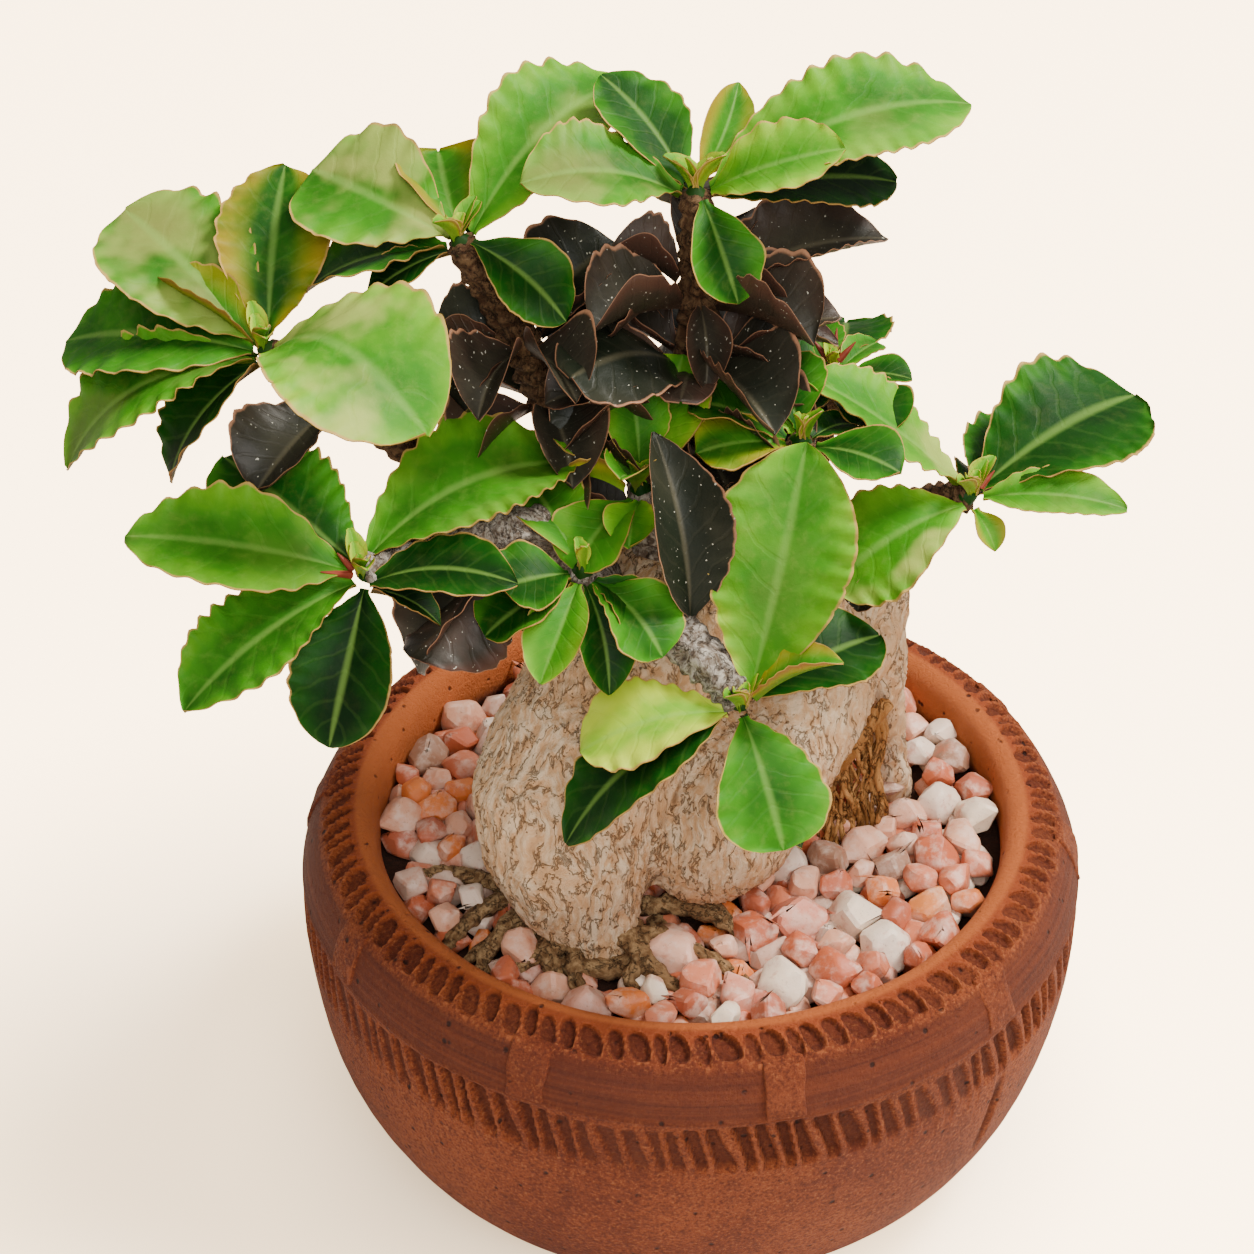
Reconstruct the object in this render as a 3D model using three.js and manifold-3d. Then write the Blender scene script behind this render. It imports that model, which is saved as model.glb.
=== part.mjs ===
// A euphorbia grown as a bonsai in a round terracotta bowl. A swollen pale stem base stands on a
// foot and a thin back leg in gravel, and knobbly shoots rise from it with whorls of broad leaves
// that have waved edges: fresh green ones at the tips, dark old ones below them.
// Millimetres, +Z up. The origin is the middle of the pot's flat foot, and the front faces -Y.

import * as THREE from "three";
import { mergeVertices } from "three/addons/utils/BufferGeometryUtils.js";
import Module from "manifold-3d";

const wasm = await Module();
wasm.setup();

// Driving dimensions
const GAP = 0.35; // clearance between neighbouring pieces
const POT_RADIUS = 100;
const POT_HEIGHT = 100.5;
const POT_FOOT = 58; // radius of the flat foot
const POT_WIDEST = 74; // height of the widest place
const POT_WALL = 9;
const POT_FLOOR = 10;
const MOUTH = 79; // radius of the mouth
const NOTCHES = 96; // in each of the two pressed bands
const NOTCH_DEPTH = 1.6;
const CUT_DEPTH = 1.4;
const PATCHES = 10; // slips of clay pressed on round the plain band
const FIRST_PATCH = -42; // degrees round from +X
const DRAIN_HOLES = 3;
const DRAIN_RADIUS = 4;
const SOIL_TOP = 82;
const GRAVEL_BED = 86; // height of the bed that the pebbles sit in
const PEBBLE_PITCH = 14; // between the middles of neighbouring pebbles, about
const PEBBLE_RISE = 5;
const FILL_CLEARANCE = 1.2; // between the wall and what fills the bowl
const HANGING_ROOTS = 9;
const BLADE = 1.1; // thickness of a leaf
const LEAF_BASE = 1.2; // half the width of a leaf where it leaves the stem
const RIB_STEPS = 3; // straight stretches of a leaf's midrib
const WAVE_PITCH = 6.2; // half a wave along a leaf's edge, about
const EDGE_WAVE = 0.9;
const TIP_RADIUS = 6.4; // of the growing tip that holds the green leaves
const TIP_REACH = 5.2; // from the middle of the growing tip to a leaf's base
const SHEATH_WALL = 2.8; // the ring of leaf bases that holds the old leaves
const SHEATH_LENGTH = 8;

const degrees = (angle) => (angle * Math.PI) / 180;
const point = (x, y, z) => new THREE.Vector3(x, y, z);

// A number from 0 to 1 that looks random and is the same each time.
function chance(seed) {
  const wave = Math.sin(seed * 12.9898) * 43758.5453;
  return wave - Math.floor(wave);
}

// The solid inside a closed set of triangles.
function solid(geometry) {
  const bare = geometry.clone();
  bare.deleteAttribute("normal");
  bare.deleteAttribute("uv");
  const merged = mergeVertices(bare, 1e-4);
  return new wasm.Manifold(
    new wasm.Mesh({
      numProp: 3,
      vertProperties: merged.attributes.position.array,
      triVerts: new Uint32Array(merged.index.array),
    }),
  );
}

// The solid that a list of triangles closes, each of three points.
function solidOfTriangles(triangles) {
  const geometry = new THREE.BufferGeometry().setFromPoints(triangles.flat());
  return solid(geometry);
}

const join = (solids) => solids.reduce((whole, piece) => whole.add(piece));

// The largest body of a solid, without the loose scraps that a cut leaves.
function largest(whole) {
  return whole.decompose().reduce((best, body) => (body.volume() > best.volume() ? body : best));
}

// A belt of triangles between two rings of points, which may have different counts.
function belt(low, high) {
  const triangles = [];
  let i = 0;
  let j = 0;
  while (i < low.length || j < high.length) {
    const a = low[i % low.length];
    const b = high[j % high.length];
    const lowIsNext = (i + 1) / low.length <= (j + 1) / high.length;
    if (i < low.length && (lowIsNext || j >= high.length)) {
      i += 1;
      triangles.push([a, low[i % low.length], b]);
    } else {
      j += 1;
      triangles.push([a, high[j % high.length], b]);
    }
  }
  return triangles;
}

// Closed skin over a row of rings, with a point before the first ring and one after the last.
function skin(first, rings, last) {
  const start = rings[0];
  const end = rings[rings.length - 1];
  const triangles = start.map((here, i) => [first, start[(i + 1) % start.length], here]);
  for (let i = 1; i < rings.length; i += 1) {
    triangles.push(...belt(rings[i - 1], rings[i]));
  }
  triangles.push(...end.map((here, i) => [here, end[(i + 1) % end.length], last]));
  return solidOfTriangles(triangles);
}

// Level ring about the pot's axis, its first point turned by phase steps.
function levelRing(radius, height, count, phase = 0) {
  return Array.from({ length: count }, (_, i) => {
    const angle = ((i + phase) / count) * Math.PI * 2;
    return point(radius * Math.cos(angle), radius * Math.sin(angle), height);
  });
}

// A limb, stem or root: round rings along a smooth path, rounded off at both ends. The radii are
// those at the path's points, grow makes it fatter all over, and rough makes it knobbly.
function limb(path, radii, { sides = 8, rings = 8, rough = 0, seed = 1, grow = 0 } = {}) {
  const curve = new THREE.CatmullRomCurve3(path.map((p) => point(...p)));
  const centres = [];
  const loops = [];
  let across = new THREE.Vector3(0.3, 1, 0.2);
  for (let i = 0; i <= rings; i += 1) {
    const t = i / rings;
    const centre = curve.getPoint(t);
    const along = curve.getTangent(t);
    across = across.clone().addScaledVector(along, -across.dot(along)).normalize();
    const aside = new THREE.Vector3().crossVectors(along, across);
    const place = t * (radii.length - 1);
    const before = Math.min(Math.floor(place), radii.length - 2);
    const radius = THREE.MathUtils.lerp(radii[before], radii[before + 1], place - before);
    loops.push(
      Array.from({ length: sides }, (_, k) => {
        const angle = ((k + (i % 2) / 2) / sides) * Math.PI * 2;
        const knob = 1 + rough * (chance(seed + i * 7.3 + k * 3.1) * 2 - 1);
        const reach = radius * knob + grow;
        return centre
          .clone()
          .addScaledVector(across, Math.cos(angle) * reach)
          .addScaledVector(aside, Math.sin(angle) * reach);
      }),
    );
    centres.push({ centre, along, radius });
  }
  const { centre: foot, along: footWay, radius: footRadius } = centres[0];
  const { centre: top, along: topWay, radius: topRadius } = centres[rings];
  const first = foot.clone().addScaledVector(footWay, -(footRadius * 0.45 + grow));
  const last = top.clone().addScaledVector(topWay, topRadius * 0.45 + grow);
  return skin(first, loops, last);
}

// The way that a leaf's chord runs, from its heading about +Z and its rise above level.
function leafWay([, , heading, rise]) {
  const h = degrees(heading);
  const r = degrees(rise);
  return point(Math.cos(r) * Math.cos(h), Math.cos(r) * Math.sin(h), Math.sin(r));
}

// Leaf blade. A leaf's numbers are its length, width, heading from +X, rise, roll about its chord,
// arch, which bows its midrib up as a share of its length, and cup, the angle that its halves fold
// up at. Its outline widens from a wedge base to a rounded tip, and its edge is waved.
function blade(base, leaf) {
  const [length, width, heading, , roll, arch, cup] = leaf;
  const along = leafWay(leaf);
  const level = point(Math.sin(degrees(heading)), -Math.cos(degrees(heading)), 0);
  const across = level.clone().applyAxisAngle(along, degrees(roll));
  const face = new THREE.Vector3().crossVectors(level, along).applyAxisAngle(along, degrees(roll));
  const perStep = THREE.MathUtils.clamp(Math.round(length / (WAVE_PITCH * RIB_STEPS)), 2, 3);
  const edgeCount = perStep * RIB_STEPS;

  const place = (s, side, wave) => {
    const swell = (width / 2) * Math.sin(Math.PI * s ** 1.55) ** 0.75;
    const reach = side * (s < 1 ? Math.max(swell, LEAF_BASE) : 0) * (1 + wave * 0.06);
    const lift = 4 * s * (1 - s) * arch * length + Math.abs(side) * wave * EDGE_WAVE;
    return base
      .clone()
      .addScaledVector(along, s * length)
      .addScaledVector(across, reach * Math.cos(degrees(cup)))
      .addScaledVector(face, lift + Math.abs(reach) * Math.sin(degrees(cup)));
  };
  const rib = Array.from({ length: RIB_STEPS + 1 }, (_, i) => place(i / RIB_STEPS, 0, 0));
  const edge = (side) =>
    Array.from({ length: edgeCount + 1 }, (_, i) => {
      const wave = i === 0 || i === edgeCount ? 0 : i % 2 ? 1 : -1;
      return place(i / edgeCount, side, wave);
    });
  const right = edge(1);
  const left = edge(-1);
  right[edgeCount] = rib[RIB_STEPS];
  left[edgeCount] = rib[RIB_STEPS];

  const top = [];
  for (let i = 0; i < RIB_STEPS; i += 1) {
    for (let k = i * perStep; k < (i + 1) * perStep; k += 1) {
      top.push([rib[i], right[k], right[k + 1]], [rib[i], left[k + 1], left[k]]);
    }
    if (i < RIB_STEPS - 1) {
      const k = (i + 1) * perStep;
      top.push([rib[i], right[k], rib[i + 1]], [rib[i], rib[i + 1], left[k]]);
    }
  }
  const down = face.clone().multiplyScalar(-BLADE);
  const under = (p) => p.clone().add(down);
  const outline = [...right, ...left.slice(0, -1).reverse(), rib[0]];
  const rim = outline.flatMap((here, i) => {
    const next = outline[(i + 1) % outline.length];
    return [
      [under(here), under(next), here],
      [under(next), next, here],
    ];
  });
  const bottom = top.map(([a, b, c]) => [under(a), under(c), under(b)]);
  return solidOfTriangles([...top, ...bottom, ...rim]);
}

const material = (colour, roughness) =>
  new THREE.MeshStandardMaterial({ color: colour, roughness, metalness: 0 });

const terracotta = material(0xb4582f, 0.85);
const darkSoil = material(0x3a2a20, 1);
const pinkStone = material(0xdfa793, 0.7);
const paleBark = material(0xbfa58a, 0.9);
const brownBark = material(0x7d6450, 0.95);
const rootBark = material(0x8a7154, 0.95);
const freshGreen = material(0x5f9a3a, 0.45);
const oldLeaf = material(0x3a302f, 0.6);

const plant = new THREE.Group();

// Adds a solid to the plant as a named piece.
function addPiece(name, shape, finish) {
  const { vertProperties, triVerts } = shape.getMesh();
  const geometry = new THREE.BufferGeometry()
    .setAttribute("position", new THREE.BufferAttribute(vertProperties, 3))
    .setIndex(new THREE.BufferAttribute(triVerts, 1));
  const mesh = new THREE.Mesh(geometry, finish);
  mesh.name = name;
  plant.add(mesh);
}

// The swollen stem base, one grown body: a round foot at the front left, a second lobe beside it
// that rises as an arch to the back right, the thin leg there, and the broad top the shoots leave.
function stemBase(grow = 0) {
  return join([
    limb(
      [
        [-22, -39, 76],
        [-24, -40, 90],
        [-29, -34, 106],
        [-30, -27, 122],
        [-21, -19, 142],
        [-13, -13, 162],
        [-8, -8, 178],
      ],
      [8, 11, 20, 24, 23, 22, 15],
      { sides: 10, rings: 8, rough: 0.05, seed: 3, grow },
    ),
    limb(
      [[-1, -26, 94], [3, -24, 106], [12, -15, 122], [25, -4, 136], [36, 5, 149], [43, 11, 160]],
      [10, 20, 22, 19, 15, 10],
      { sides: 10, rings: 6, rough: 0.05, seed: 11, grow },
    ),
    limb(
      [[42, 12, 160], [46, 14, 142], [49, 15, 120], [52, 17, 98], [54, 18, 76]],
      [12, 8, 5.5, 5, 5],
      { sides: 6, rings: 4, rough: 0.12, seed: 23, grow },
    ),
    limb(
      [[-26, -12, 162], [-8, -6, 172], [14, 0, 172], [33, 8, 162]],
      [15, 19, 19, 14],
      { sides: 8, rings: 4, rough: 0.06, seed: 31, grow },
    ),
  ]);
}

const fatBase = stemBase(GAP);
addPiece("stem_base", stemBase(), paleBark);

// Inside of the bowl from its floor up, as radius and height.
const INSIDE = [
  [POT_FOOT - 4, POT_FLOOR],
  [POT_RADIUS - POT_WALL - 10, POT_WIDEST / 2],
  [POT_RADIUS - POT_WALL - 4, POT_WIDEST],
  [MOUTH, POT_HEIGHT - 5],
];

// A slip of clay as it lies on the plain band, at an angle round the pot.
function patch(angle) {
  const slip = new THREE.CylinderGeometry(6, 6.6, 4, 8);
  slip.rotateY(Math.PI / 8).rotateZ(-Math.PI / 2).scale(1, 0.87, 1.02);
  slip.rotateY(degrees(-22)).translate(POT_RADIUS - 4, 0, POT_WIDEST + 15);
  return solid(slip.rotateZ(degrees(angle)));
}

// The bowl: a flat foot, a round belly and a rolled lip, with a band of pressed notches round the
// shoulder and a band of slanting cuts below the plain band at its widest.
function pot() {
  const slant = -0.8;
  const ring = (radius, height, share = 1) =>
    levelRing(radius, height, NOTCHES * share, slant * share);
  const belly = (turn) => [
    POT_FOOT + (POT_RADIUS - POT_FOOT) * Math.sin(turn) ** 0.93,
    POT_WIDEST * (1 - Math.cos(turn)),
  ];
  const cutFoot = levelRing(...belly(degrees(86)), NOTCHES);
  const cutTop = ring(POT_RADIUS - 0.8, POT_WIDEST + 9);
  const shoulder = ring(POT_RADIUS - 6.8, POT_HEIGHT - 3.8);
  const notchTop = ring(POT_RADIUS - 13, POT_HEIGHT - 0.3);
  const bowlRings = [0, 20, 40, 60].map((turn) => levelRing(...belly(degrees(turn)), NOTCHES / 2));
  const inside = [
    ring(POT_RADIUS - 16, POT_HEIGHT),
    ring(MOUTH + 1.5, POT_HEIGHT - 1.2, 0.5),
    ...INSIDE.map(([radius, height]) => ring(radius, height, radius === MOUTH ? 0.5 : 0.25)).reverse(),
  ];
  const belts = (rings) => rings.slice(1).flatMap((high, i) => belt(rings[i], high));
  const pressed = (low, high, depth) =>
    low.flatMap((a, i) => {
      const next = (i + 1) % low.length;
      const corners = [a, low[next], high[next], high[i]];
      const middle = corners.reduce((sum, p) => sum.clone().add(p)).multiplyScalar(0.25);
      const inward = point(-middle.x, -middle.y, 0).normalize().multiplyScalar(depth);
      middle.add(inward);
      return corners.map((corner, k) => [corner, corners[(k + 1) % 4], middle]);
    });
  const foot = bowlRings[0];
  const floor = inside[inside.length - 1];
  const shell = solidOfTriangles([
    ...foot.map((here, i) => [point(0, 0, 0), foot[(i + 1) % foot.length], here]),
    ...belts([...bowlRings, cutFoot]),
    ...pressed(cutFoot, cutTop, CUT_DEPTH),
    ...belts([cutTop, ring(POT_RADIUS - 2.2, POT_WIDEST + 15, 0.5), shoulder]),
    ...pressed(shoulder, notchTop, NOTCH_DEPTH),
    ...belts([notchTop, ...inside]),
    ...floor.map((here, i) => [here, floor[(i + 1) % floor.length], point(0, 0, POT_FLOOR)]),
  ]);
  const patches = Array.from({ length: PATCHES }, (_, i) => patch(FIRST_PATCH + (360 / PATCHES) * i));
  const holes = Array.from({ length: DRAIN_HOLES }, (_, i) => {
    const hole = new THREE.CylinderGeometry(DRAIN_RADIUS, DRAIN_RADIUS, POT_FLOOR * 3, 6);
    hole.rotateX(Math.PI / 2).translate(POT_FOOT / 2, 0, 0);
    return solid(hole.rotateZ(degrees(30 + (360 / DRAIN_HOLES) * i)));
  });
  return join([shell, ...patches]).subtract(join(holes));
}

addPiece("pot", pot(), terracotta);

// Roots that fan out over the gravel from the foot, each from inside it to its far end, and the
// flare round the foot that they share.
const SURFACE_ROOTS = [
  [[-24, -38, 92], [-28, -44, 92], [-36, -49, 90], [-47, -54, 86]],
  [[-22, -38, 92], [-19, -46, 92], [-11, -55, 90], [0, -63, 86]],
  [[-30, -34, 92], [-46, -31, 91], [-58, -41, 89], [-61, -48, 86]],
  [[-20, -36, 92], [-8, -34, 92], [6, -37, 90], [19, -46, 86]],
  [[-25, -38, 92], [-29, -50, 91], [-28, -57, 88], [-25, -61, 86]],
  [[-30, -32, 92], [-50, -25, 91], [-62, -19, 89], [-72, -16, 86]],
  [[-30, -36, 92], [-42, -38, 92], [-51, -50, 89], [-51, -56, 86]],
  [[-26, -38, 92], [-35, -46, 92], [-35, -55, 89], [-32, -60, 86]],
];
const ROOT_RADII = [3.6, 3.2, 2.4, 1.4];
const FLARE_RADII = [3, 3.6, 3.6, 3];
const ROOT_FLARE = [
  [-38, -28, 87],
  [-39, -43, 87],
  [-31, -52, 87],
  [-18, -52, 87],
  [-9, -44, 87],
  [-9, -32, 87],
];

function surfaceRoots() {
  const roots = SURFACE_ROOTS.map((path, i) =>
    limb(path, ROOT_RADII, { sides: 5, rings: 4, rough: 0.1, seed: i * 3.7 }),
  );
  const flare = limb(ROOT_FLARE, FLARE_RADII, { sides: 5, rings: 6, rough: 0.1 });
  return join([flare, ...roots]);
}

addPiece("surface_roots", largest(surfaceRoots().subtract(fatBase)), rootBark);

// Thin roots that hang in a row from a strand under the arch and stand in the gravel.
function aerialRoots() {
  const strand = limb(
    [[30, -2, 103], [36, -1, 109], [42, 2, 116], [49, 5, 126]],
    [2, 2.4, 2.4, 2],
    { sides: 5, rings: 5, rough: 0.1 },
  );
  const roots = Array.from({ length: HANGING_ROOTS }, (_, i) => {
    const share = i / (HANGING_ROOTS - 1);
    const top = [32 + 16 * share, -1 + 5 * share, 105 + 19 * share];
    const low = [31 + 16 * share + chance(i), -10 + 8 * share + chance(i + 20) * 2, 84];
    const bend = top.map((value, axis) => (value + low[axis]) / 2);
    bend[0] += chance(i + 40) * 2 - 1;
    bend[1] -= 1;
    return limb([top, bend, low], [1, 0.9, 0.95], { sides: 4, rings: 2, rough: 0.15, seed: i });
  });
  return join([strand, ...roots]);
}

addPiece("aerial_roots", largest(aerialRoots().subtract(fatBase)), rootBark);

// Fills the pot's inside between two heights with a plug that clears the wall.
function filling(low, high) {
  const heights = [low, ...INSIDE.map(([, height]) => height).filter((z) => z > low && z < high), high];
  const rings = heights.map((height) => {
    const above = INSIDE.findIndex(([, z]) => z >= height);
    const [[lowRadius, lowZ], [highRadius, highZ]] = [INSIDE[above - 1], INSIDE[above]];
    const radius = THREE.MathUtils.mapLinear(height, lowZ, highZ, lowRadius, highRadius);
    return levelRing(radius - FILL_CLEARANCE, height, NOTCHES / 4);
  });
  return skin(point(0, 0, low), rings, point(0, 0, high));
}

addPiece("soil", filling(POT_FLOOR + GAP, SOIL_TOP).subtract(fatBase), darkSoil);

// Room in the gravel for the stem base, a plain trench for each surface root, and a slot that
// the hanging roots stand in.
function rootRoom() {
  const plain = { sides: 5, rings: 4, grow: 0.8 };
  const trenches = SURFACE_ROOTS.map((path) => limb(path, ROOT_RADII, plain));
  const flareRoom = limb(ROOT_FLARE, FLARE_RADII, { ...plain, rings: 6 });
  const slot = limb([[29, -11, 88], [49, -1, 88]], [5.5, 5.5], { sides: 6, rings: 1 });
  return join([fatBase, flareRoom, slot, ...trenches]);
}

// Steps from the middle of a pebble to its six corners, which its neighbours share.
const HONEYCOMB = [[1, 0], [0, 1], [-1, 1], [-1, 0], [0, -1], [1, -1]];

// Triangles of a pebble that stands on six corners: three of them, drawn in to its middle and
// raised, are its top.
function pebble(corners, seed) {
  const middle = corners.reduce((sum, p) => sum.clone().add(p)).divideScalar(6);
  const turn = Math.floor(chance(seed) * 2);
  const top = [0, 2, 4].map((k) => {
    const raised = corners[k + turn].clone().lerp(middle, 0.35 + chance(seed + k) * 0.2);
    return raised.setZ(GRAVEL_BED + PEBBLE_RISE * (0.8 + chance(seed + k + 0.5) * 0.5));
  });
  const sides = top.flatMap((a, i) => {
    const b = top[(i + 1) % 3];
    const k = i * 2 + turn;
    const [c, d, e] = [corners[k], corners[(k + 1) % 6], corners[(k + 2) % 6]];
    return [[a, c, d], [a, d, b], [b, d, e]];
  });
  return [top, ...sides];
}

// The gravel top: pebbles packed like a rough honeycomb on a bed, with room for the stem base
// and the roots.
function gravel() {
  const step = PEBBLE_PITCH / Math.sqrt(3);
  const spread = Math.ceil((MOUTH * 2) / step);
  const placeOf = (column, row) => point(column + row / 2, row * Math.sqrt(0.75), 0).multiplyScalar(step);
  const isPebble = (column, row) =>
    (column - row) % 3 === 0 && placeOf(column, row).length() < MOUTH + PEBBLE_PITCH;
  const corner = (column, row, height) => {
    const seed = column * 7.1 + row * 3.3;
    const shift = point(chance(seed) - 0.5, chance(seed + 0.7) - 0.5, 0).multiplyScalar(step * 0.45);
    return placeOf(column, row).add(shift).setZ(height);
  };
  const triangles = [];
  const addPebble = (column, row) => {
    const ring = (height) => HONEYCOMB.map(([c, r]) => corner(column + c, row + r, height));
    const high = ring(GRAVEL_BED - 1);
    const low = ring(SOIL_TOP - 5);
    triangles.push(...pebble(high, column * 3.7 + row));
    triangles.push(...low.slice(2).map((here, i) => [low[0], here, low[i + 1]]));
    HONEYCOMB.forEach(([c, r], k) => {
      const next = (k + 1) % 6;
      const [nextC, nextR] = HONEYCOMB[next];
      if (!isPebble(column + c + nextC, row + r + nextR)) {
        triangles.push([low[k], low[next], high[k]], [low[next], high[next], high[k]]);
      }
    });
  };
  for (let column = -spread; column <= spread; column += 1) {
    for (let row = -spread; row <= spread; row += 1) {
      if (isPebble(column, row)) {
        addPebble(column, row);
      }
    }
  }
  const packed = solidOfTriangles(triangles).intersect(filling(SOIL_TOP + GAP, POT_HEIGHT - 6));
  return largest(packed.subtract(rootRoom()));
}

addPiece("gravel", gravel(), pinkStone);

// A shoot has the path of its stem, the stem's radii there, green leaves round its tip, and old
// leaves round a sheath at a share of the path. Each leaf is a row of the numbers that blade() takes.
const SHOOTS = [
  {
    name: "upper_left",
    path: [[-30, -8, 176], [-46, -7, 192], [-70, -6, 212], [-97, -8, 236]],
    radii: [6, 5, 4.2, 3.6],
    green: [
      [48, 42, -42, -1, 14, 0.28, 8],
      [41, 27, 86, 37, 4, 0.05, 8],
      [46, 36, 130, 23, -14, 0.1, 8],
      [28, 16, 150, 15, 0, 0.12, 45],
      [46, 34, 163, -7, -15, 0.1, 8],
      [50, 32, -172, -30, -8, 0.2, 12],
      [34, 22, 155, -30, 0, 0.1, 10],
      [34, 22, -160, -50, 0, 0.12, 15],
      [42, 28, 112, -8, 0, 0.1, 10],
    ],
    oldAt: 0.82,
    old: [[24, 19, -128, -22, 0, 0.1, 14]],
  },
  {
    name: "top_left",
    path: [[-20, -2, 184], [-32, 0, 212], [-41, 0, 236], [-53, 0, 259]],
    radii: [6, 5, 4.6, 3.8],
    green: [
      [37, 34, 147, 9, -25, 0.08, 8],
      [24, 23, 103, 18, 0, 0.05, 20],
      [54, 30, 46, 20, 12, 0.16, 12],
      [32, 16, 57, 1, 0, 0.1, 20],
      [26, 20, -20, -36, 25, 0.1, 10],
      [20, 13, -168, -28, -10, 0.1, 10],
      [34, 22, 110, -10, 0, 0.1, 10],
      [34, 24, 172, -22, 0, 0.1, 10],
    ],
    oldAt: 0.64,
    old: [
      [25, 20, 36, 32, 20, 0.1, 15],
      [20, 15, 40, -3, 10, 0.1, 35],
      [14, 13, 180, 4, -10, 0.1, 45],
      [15, 14, -140, -40, -10, 0.1, 45],
    ],
  },
  {
    name: "top",
    path: [[0, -2, 184], [-1, 1, 214], [0, 3, 244], [-1, 4, 269]],
    radii: [6.5, 5.2, 4.6, 3.8],
    green: [
      [61, 33, 17, 11, 15, 0.17, 6],
      [31, 21, -12, 24, 25, 0.1, 12],
      [25, 12, 67, 32, 30, 0.05, 20],
      [45, 25, 21, -8, 20, 0.1, 12],
      [23, 18, -62, -48, 0, 0.1, 8],
      [35, 26, -168, 10, -18, 0.12, 10],
      [30, 20, 136, 33, -10, 0.05, 10],
      [13, 9, 150, 7, -10, 0.1, 40],
      [34, 24, 95, -35, 0, 0.1, 10],
    ],
    oldAt: 0.7,
    old: [
      [16, 12, 175, 22, 0, 0.1, 40],
      [16, 13, -13, -10, 0, 0.1, 40],
      [18, 15, -160, -24, 0, 0.1, 20],
      [18, 10, -85, -50, 0, 0.1, 30],
      [39, 20, 18, 5, 10, 0.1, 12],
    ],
    lowOldAt: 0.48,
    lowOld: [
      [28, 18, 6, 16, 10, 0.1, 20],
      [27, 14, 10, 2, 0, 0.1, 20],
      [30, 26, -142, 14, -15, 0.14, -20],
      [15, 13, -100, 6, 0, 0.1, -20],
      [30, 20, -158, -5, -20, 0.1, 20],
      [32, 18, -152, -24, -10, 0.1, 30],
      [20, 12, -70, -46, 0, 0.1, 20],
      [18, 12, -30, 8, 0, 0.2, 20],
    ],
  },
  {
    name: "right",
    path: [[32, 6, 168], [46, 0, 184], [56, -5, 193], [63, -8, 197]],
    radii: [6, 5, 4.5, 3.6],
    green: [
      [46, 24, 170, 34, 0, 0.05, 10],
      [35, 32, -158, -24, -12, 0.12, 6],
      [46, 38, 33, 12, 10, 0.1, 8],
      [32, 15, -12, 2, 18, 0.1, 12],
      [10, 8, -60, -35, 0, 0.1, 20],
      [38, 26, 58, -8, 0, 0.1, 10],
      [34, 24, 65, -32, 0, 0.1, 10],
    ],
    oldAt: 0.45,
    old: [
      [28, 22, -150, -34, 0, 0.1, 10],
      [20, 14, -128, -40, 0, 0.1, 20],
    ],
  },
  {
    name: "lower_left",
    path: [[-30, -16, 188], [-38, -28, 202], [-56, -37, 203], [-74, -42, 199]],
    radii: [6, 5, 4.6, 3.8],
    green: [
      [52, 36, 24, 14, 6, 0.13, 12],
      [42, 30, 139, 14, -10, 0.08, 8],
      [49, 30, -178, 12, -16, 0.1, 8],
      [46, 27, -149, -24, -8, 0.14, 12],
      [35, 25, -108, -48, 0, 0.1, 8],
      [34, 19, -17, 11, 14, 0.1, 10],
      [16, 10, -15, -25, 0, 0.1, 20],
      [34, 14, 49, -1, 0, 0.1, 15],
    ],
    oldAt: 0.45,
    old: [
      [29, 20, -134, -29, 180, 0.1, 12],
      [32, 20, -150, -52, 0, 0.1, 10],
    ],
  },
  {
    name: "front",
    path: [[-8, -20, 172], [-6, -38, 181], [2, -47, 178], [9, -54, 172]],
    radii: [7, 6, 5.4, 3.8],
    green: [
      [56, 34, 67, 57, 3, 0.05, 6],
      [33, 26, -170, -12, -8, 0.1, 6],
      [46, 24, -158, -34, -10, 0.14, 10],
      [30, 28, -66, -46, 0, 0.1, 6],
      [22, 14, -10, 32, 0, 0.1, 35],
      [34, 24, 32, 5, 12, 0.1, 8],
      [34, 16, -36, -62, 0, 0.1, 10],
    ],
    oldAt: 0.5,
    old: [[31, 14, 122, 62, 0, 0.1, 10]],
  },
  {
    name: "middle",
    path: [[-9, -12, 184], [-11, -16, 196], [-13, -20, 207]],
    radii: [6, 5, 3.6],
    green: [
      [20, 16, 50, 48, 0, 0.1, 12],
      [13, 12, 178, 12, 40, 0.1, 20],
      [12, 12, -110, 40, 0, 0.1, 30],
      [12, 12, -100, -20, 0, 0.1, 30],
    ],
    oldAt: 0.46,
    old: [[22, 15, 16, 14, 0, 0.1, 10]],
  },
  {
    name: "left",
    path: [[-22, -20, 180], [-25, -32, 190], [-26, -38, 197]],
    radii: [6, 5, 3.6],
    green: [
      [14, 15, 77, 20, 0, 0.1, -10],
      [16, 16, -152, 6, -20, 0.1, 10],
      [16, 12, -160, -52, 0, 0.1, 30],
      [17, 15, -30, -32, 0, 0.1, 10],
      [24, 13, -112, -30, 0, 0.1, 20],
      [24, 12, -72, -48, 0, 0.1, 20],
    ],
  },
  {
    name: "right_middle",
    path: [[16, -8, 184], [20, -14, 202], [23, -18, 218]],
    radii: [6, 5, 3.6],
    green: [
      [20, 14, 124, 5, 0, 0.2, -20],
      [20, 16, -165, 2, -10, 0.1, 10],
      [20, 15, -30, 0, 10, 0.1, 10],
      [14, 10, 44, -13, 0, 0.1, 10],
    ],
  },
  {
    name: "back_right",
    path: [[22, 8, 180], [28, 14, 198], [32, 18, 214]],
    radii: [6, 5, 3.6],
    green: [
      [14, 12, 104, 5, 0, 0.1, 10],
      [12, 9, 45, 6, 0, 0.1, 15],
      [15, 10, -20, 8, 0, 0.1, 15],
      [28, 20, 80, -8, 0, 0.1, 10],
      [28, 18, 110, -30, 0, 0.1, 10],
    ],
  },
];

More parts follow.
